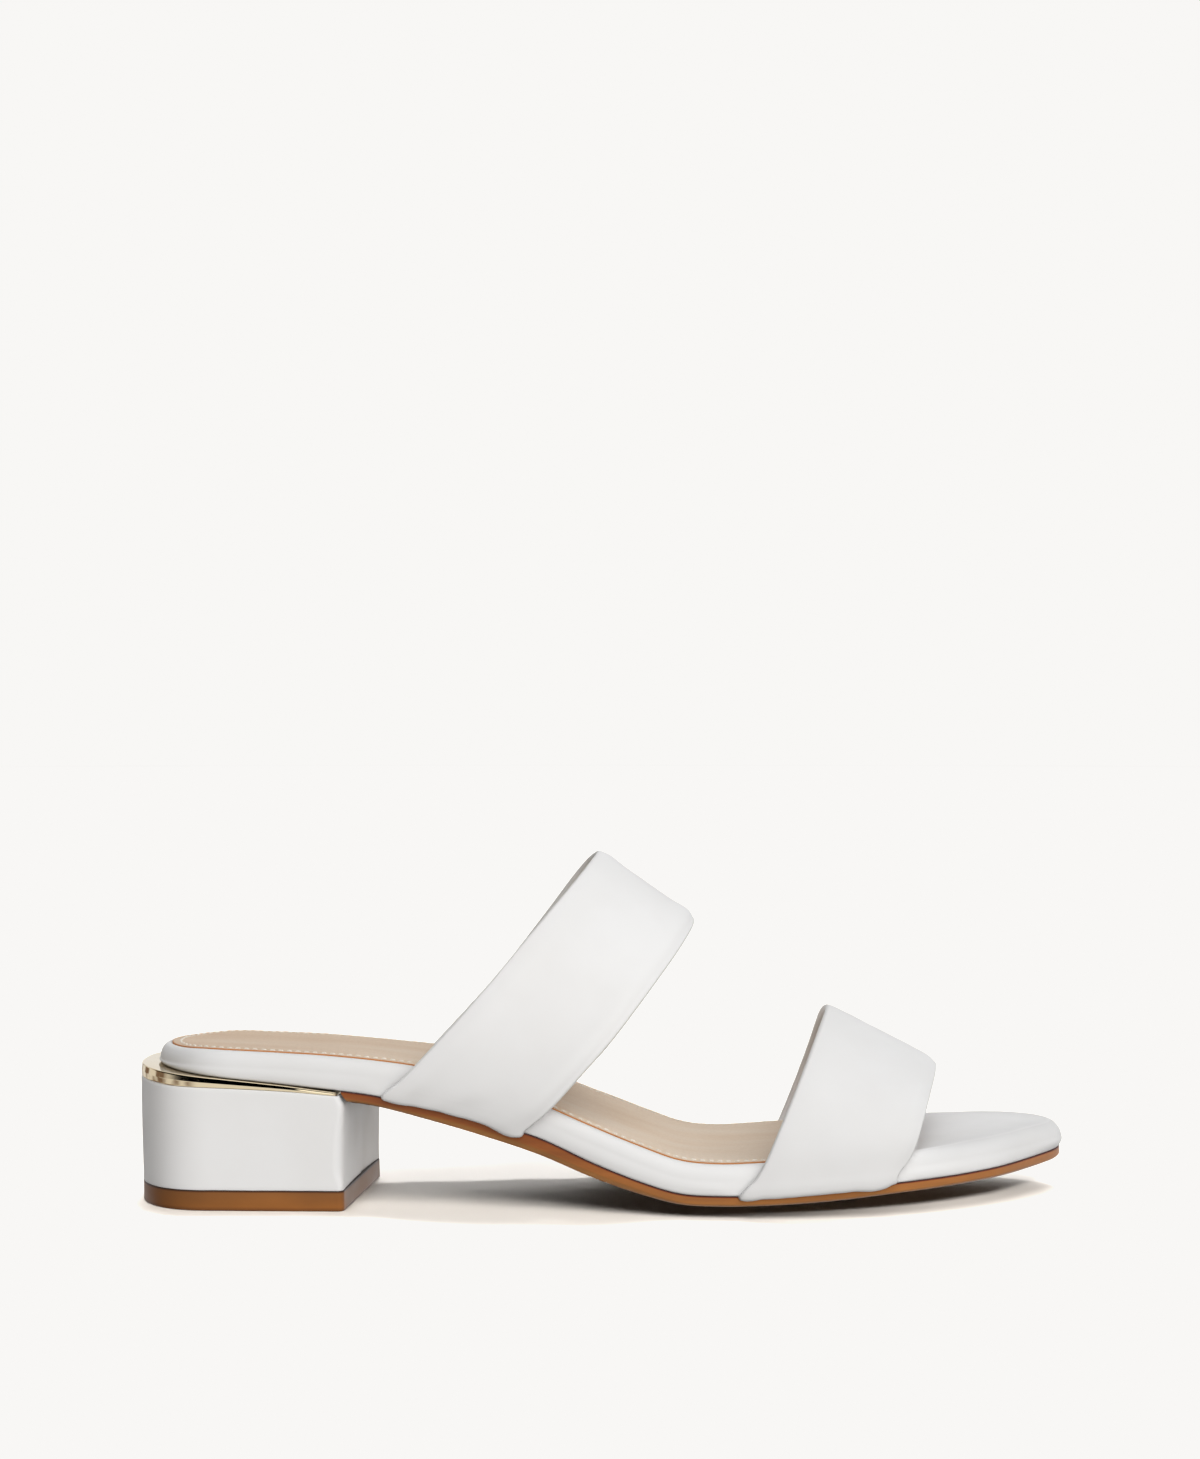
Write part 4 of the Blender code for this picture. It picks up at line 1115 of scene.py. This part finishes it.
Light = namedtuple("Light", "name azimuth elevation spread strength colour")
SHOE_LIGHTS = [  # broad, soft lights; azimuth 0 is the camera's side, 90 the toe's side
    Light("key", 25, 36, 80, 2.65, NEUTRAL),
    Light("low", 5, -12, 90, 0.95, WARM),
    Light("left", -70, 20, 90, 0.1, NEUTRAL),
    Light("back", 180, 10, 120, 2.6, NEUTRAL),
]
FLOOR_LIGHTS = [
    Light("floor_overhead", 180, 76, 10, 1.85, FLOOR_BACK),
    Light("floor_sky", 0, 90, 150, 0.4, FLOOR_BACK),
    Light("floor_front", 0, 52, 34, 2.8, FLOOR_FRONT),
    Light("floor_back", 180, 35, 50, 1.6, FLOOR_BACK),
]
Spot = namedtuple("Spot", "name elevation x y cone soft watts colour shadow", defaults=(FLOOR_FRONT, True))
FLOOR_SPOTS = [  # in front of ball and toe: two low ones trim the shadow's near edge, and two warm the shadow
    Spot("spot_ball", 34, 0.055, -0.02, 16, 0.07, 5.6),
    Spot("spot_toe", 21, 0.100, -0.015, 9, 0.035, 33.0),
    Spot("glow_toe", 60, 0.105, 0.0, 14, 0.05, 0.40, FLOOR_BROWN, False),
    Spot("glow_ball", 60, 0.045, -0.01, 14, 0.05, 0.22, FLOOR_BROWN, False),
]
SPOT_DISTANCE = 0.6


def towards(azimuth, elevation):
    """A direction; azimuth 0 is the camera's side, 90 the toe's side."""
    turn, rise = radians(azimuth), radians(elevation)
    return Vector((sin(turn) * cos(rise), -cos(turn) * cos(rise), sin(rise)))


def add_lamp(name, kind, direction, receivers, blockers=None, **values):
    data = bpy.data.lights.new(name, kind)
    for key, value in values.items():
        setattr(data, key, value)
    data.cycles.use_multiple_importance_sampling = False
    lamp = linked(name, data)
    lamp.rotation_euler = direction.to_track_quat("Z", "Y").to_euler()
    lamp.visible_glossy = False
    lamp.light_linking.receiver_collection = receivers
    lamp.light_linking.blocker_collection = blockers
    return lamp


def add_sun(light, receivers, blockers=None):
    direction = towards(light.azimuth, light.elevation)
    values = dict(energy=light.strength, angle=radians(light.spread), color=light.colour)
    add_lamp(light.name, "SUN", direction, receivers, blockers, **values)


def add_spot(spot, receivers):
    values = dict(energy=spot.watts, color=spot.colour, use_shadow=spot.shadow)
    values.update(spot_size=radians(spot.cone), spot_blend=1.0, shadow_soft_size=spot.soft)
    direction = towards(0, spot.elevation)
    lamp = add_lamp(spot.name, "SPOT", direction, receivers, **values)
    lamp.location = Vector((spot.x, spot.y, 0)) + direction * SPOT_DISTANCE


def add_floor_and_lights():
    """Pale floor with its own lights, and the shoe's lights, which leave the floor alone."""
    mesh = bpy.data.meshes.new("floor")
    turns = [pi * i / 32 for i in range(64)]
    mesh.from_pydata([(FLOOR_RADIUS * cos(t), FLOOR_RADIUS * sin(t), 0) for t in turns], [], [range(64)])
    mesh.materials.append(Finish("floor_paper", FLOOR_COLOUR, 0.9, specular=0.0).material)
    floor = linked("floor", mesh)
    floor.visible_diffuse = False
    floor.visible_glossy = False

    only_floor = bpy.data.collections.new("lit_from_overhead")
    only_floor.objects.link(floor)
    all_but_floor = bpy.data.collections.new("lit_all_round")
    all_but_floor.objects.link(floor)
    all_but_floor.collection_objects[0].light_linking.link_state = "EXCLUDE"
    for light in FLOOR_LIGHTS:
        add_sun(light, only_floor)
    for spot in FLOOR_SPOTS:
        add_spot(spot, only_floor)
    for light in SHOE_LIGHTS:
        add_sun(light, all_but_floor, all_but_floor)


def add_world():
    """The plain pale sweep, and in shiny surfaces a bright studio with a dark band in front."""
    world = bpy.data.worlds.new("studio")
    world.use_nodes = True
    made = Nodes(world.node_tree)
    direction = made.add("TexCoord").outputs["Generated"]

    def along(vector, low, high):
        """0 to 1 as the direction turns towards the vector: low and high are cosines."""
        turned = made.join("VectorMath", (0, 1), (direction, vector), "Value", operation="DOT_PRODUCT")
        return made.step(turned, low, high)

    def choice(ray, other, chosen):
        """One background for this kind of ray, and another for the rest."""
        return made.join("MixShader", (0, 1, 2), (path.outputs[ray], other, chosen))

    band = made.times(along((0, 0, 1), 0.08, 0.17), along((0, 0, -1), -0.84, -0.76))
    dark = made.times(band, along(towards(-17, 15), 0.10, 0.22))
    softbox = made.times(along(towards(25, 55), 0.75, 0.92), 0.5)
    bright = made.math("ADD", softbox, 0.85)
    level = made.times(bright, made.math("SUBTRACT", 1.0, dark))
    clutter = made.add("TexNoise", Scale=2.7, Detail=1.0, Vector=direction)
    patches = made.ramp(clutter.outputs["Fac"], (0.43, 0.10), (0.57, 1.0))
    beside = made.times(along(towards(-90, 0), 0.30, 0.65), patches)
    brown = made.mix(made.times(beside, 0.9), (1, 1, 1), STUDIO_BROWN)

    path = made.add("LightPath")
    studio = made.tree.nodes["Background"]
    made.put(studio.inputs["Color"], brown)
    made.put(studio.inputs["Strength"], level)
    seen = made.add("Background", Color=PAPER, Strength=1.0)
    none = made.add("Background", Color=(0, 0, 0), Strength=0.0)
    shiny = choice("Is Glossy Ray", none.outputs[0], studio.outputs[0])
    shown = choice("Is Camera Ray", shiny, seen.outputs[0])
    made.put(made.tree.nodes["World Output"].inputs["Surface"], shown)
    bpy.context.scene.world = world


def expose_sweep():
    """The floor is exposed up to the sweep's own pale tone, and no further."""
    view = bpy.context.scene.view_settings
    view.view_transform = "Standard"
    view.use_curve_mapping = True
    mapping = view.curve_mapping
    mapping.extend = "HORIZONTAL"
    for curve, top in zip(mapping.curves, PAPER):
        curve.points[1].location = (top, top)
        for point in curve.points:
            point.handle_type = "VECTOR"
    mapping.update()


CAMERA_DISTANCE = 0.720
CAMERA_HEIGHT = 0.1272
CAMERA_YAW = 2.0  # degrees from square to the side, towards the toe
CAMERA_LENS = 64.72


def add_camera():
    data = bpy.data.cameras.new("camera")
    data.lens = CAMERA_LENS
    data.sensor_width = 36.0
    made = linked("camera", data)
    yaw = radians(CAMERA_YAW)
    made.location = (CAMERA_DISTANCE * sin(yaw), -CAMERA_DISTANCE * cos(yaw), CAMERA_HEIGHT)
    made.rotation_euler = (pi / 2, 0, yaw)
    bpy.context.scene.camera = made


def main():
    add_camera()
    add_world()
    add_floor_and_lights()
    expose_sweep()

    # the white leathers' tones are painted light and shade: lighter or darker copies of one white, with painted shade
    # at the footbed's heel end, on its toe roll and on the heel's breast
    footbed_cover(white_leather("white_leather_footbed", tone=1.03, heel_end_painted_shade=0.905, toe_painted_shade=0.19))
    sock_cover(sock_leather())
    sock_stitching(thread_cream())
    outsole_skin(sole_tan())
    heel_lift(lift_rubber())
    heel_cover(white_leather("white_leather_heel", breast=0.35))
    heel_rim_plate(polished_gold())
    lining = lining_leather()
    # the rear strap is painted lighter, with painted shade over its top; the front strap is painted darker
    strap_cover("strap_rear", white_leather("white_leather_rear", 1.035, top_painted_shade=0.95), lining)
    strap_cover("strap_front", white_leather("white_leather_front", 0.965), lining)


main()
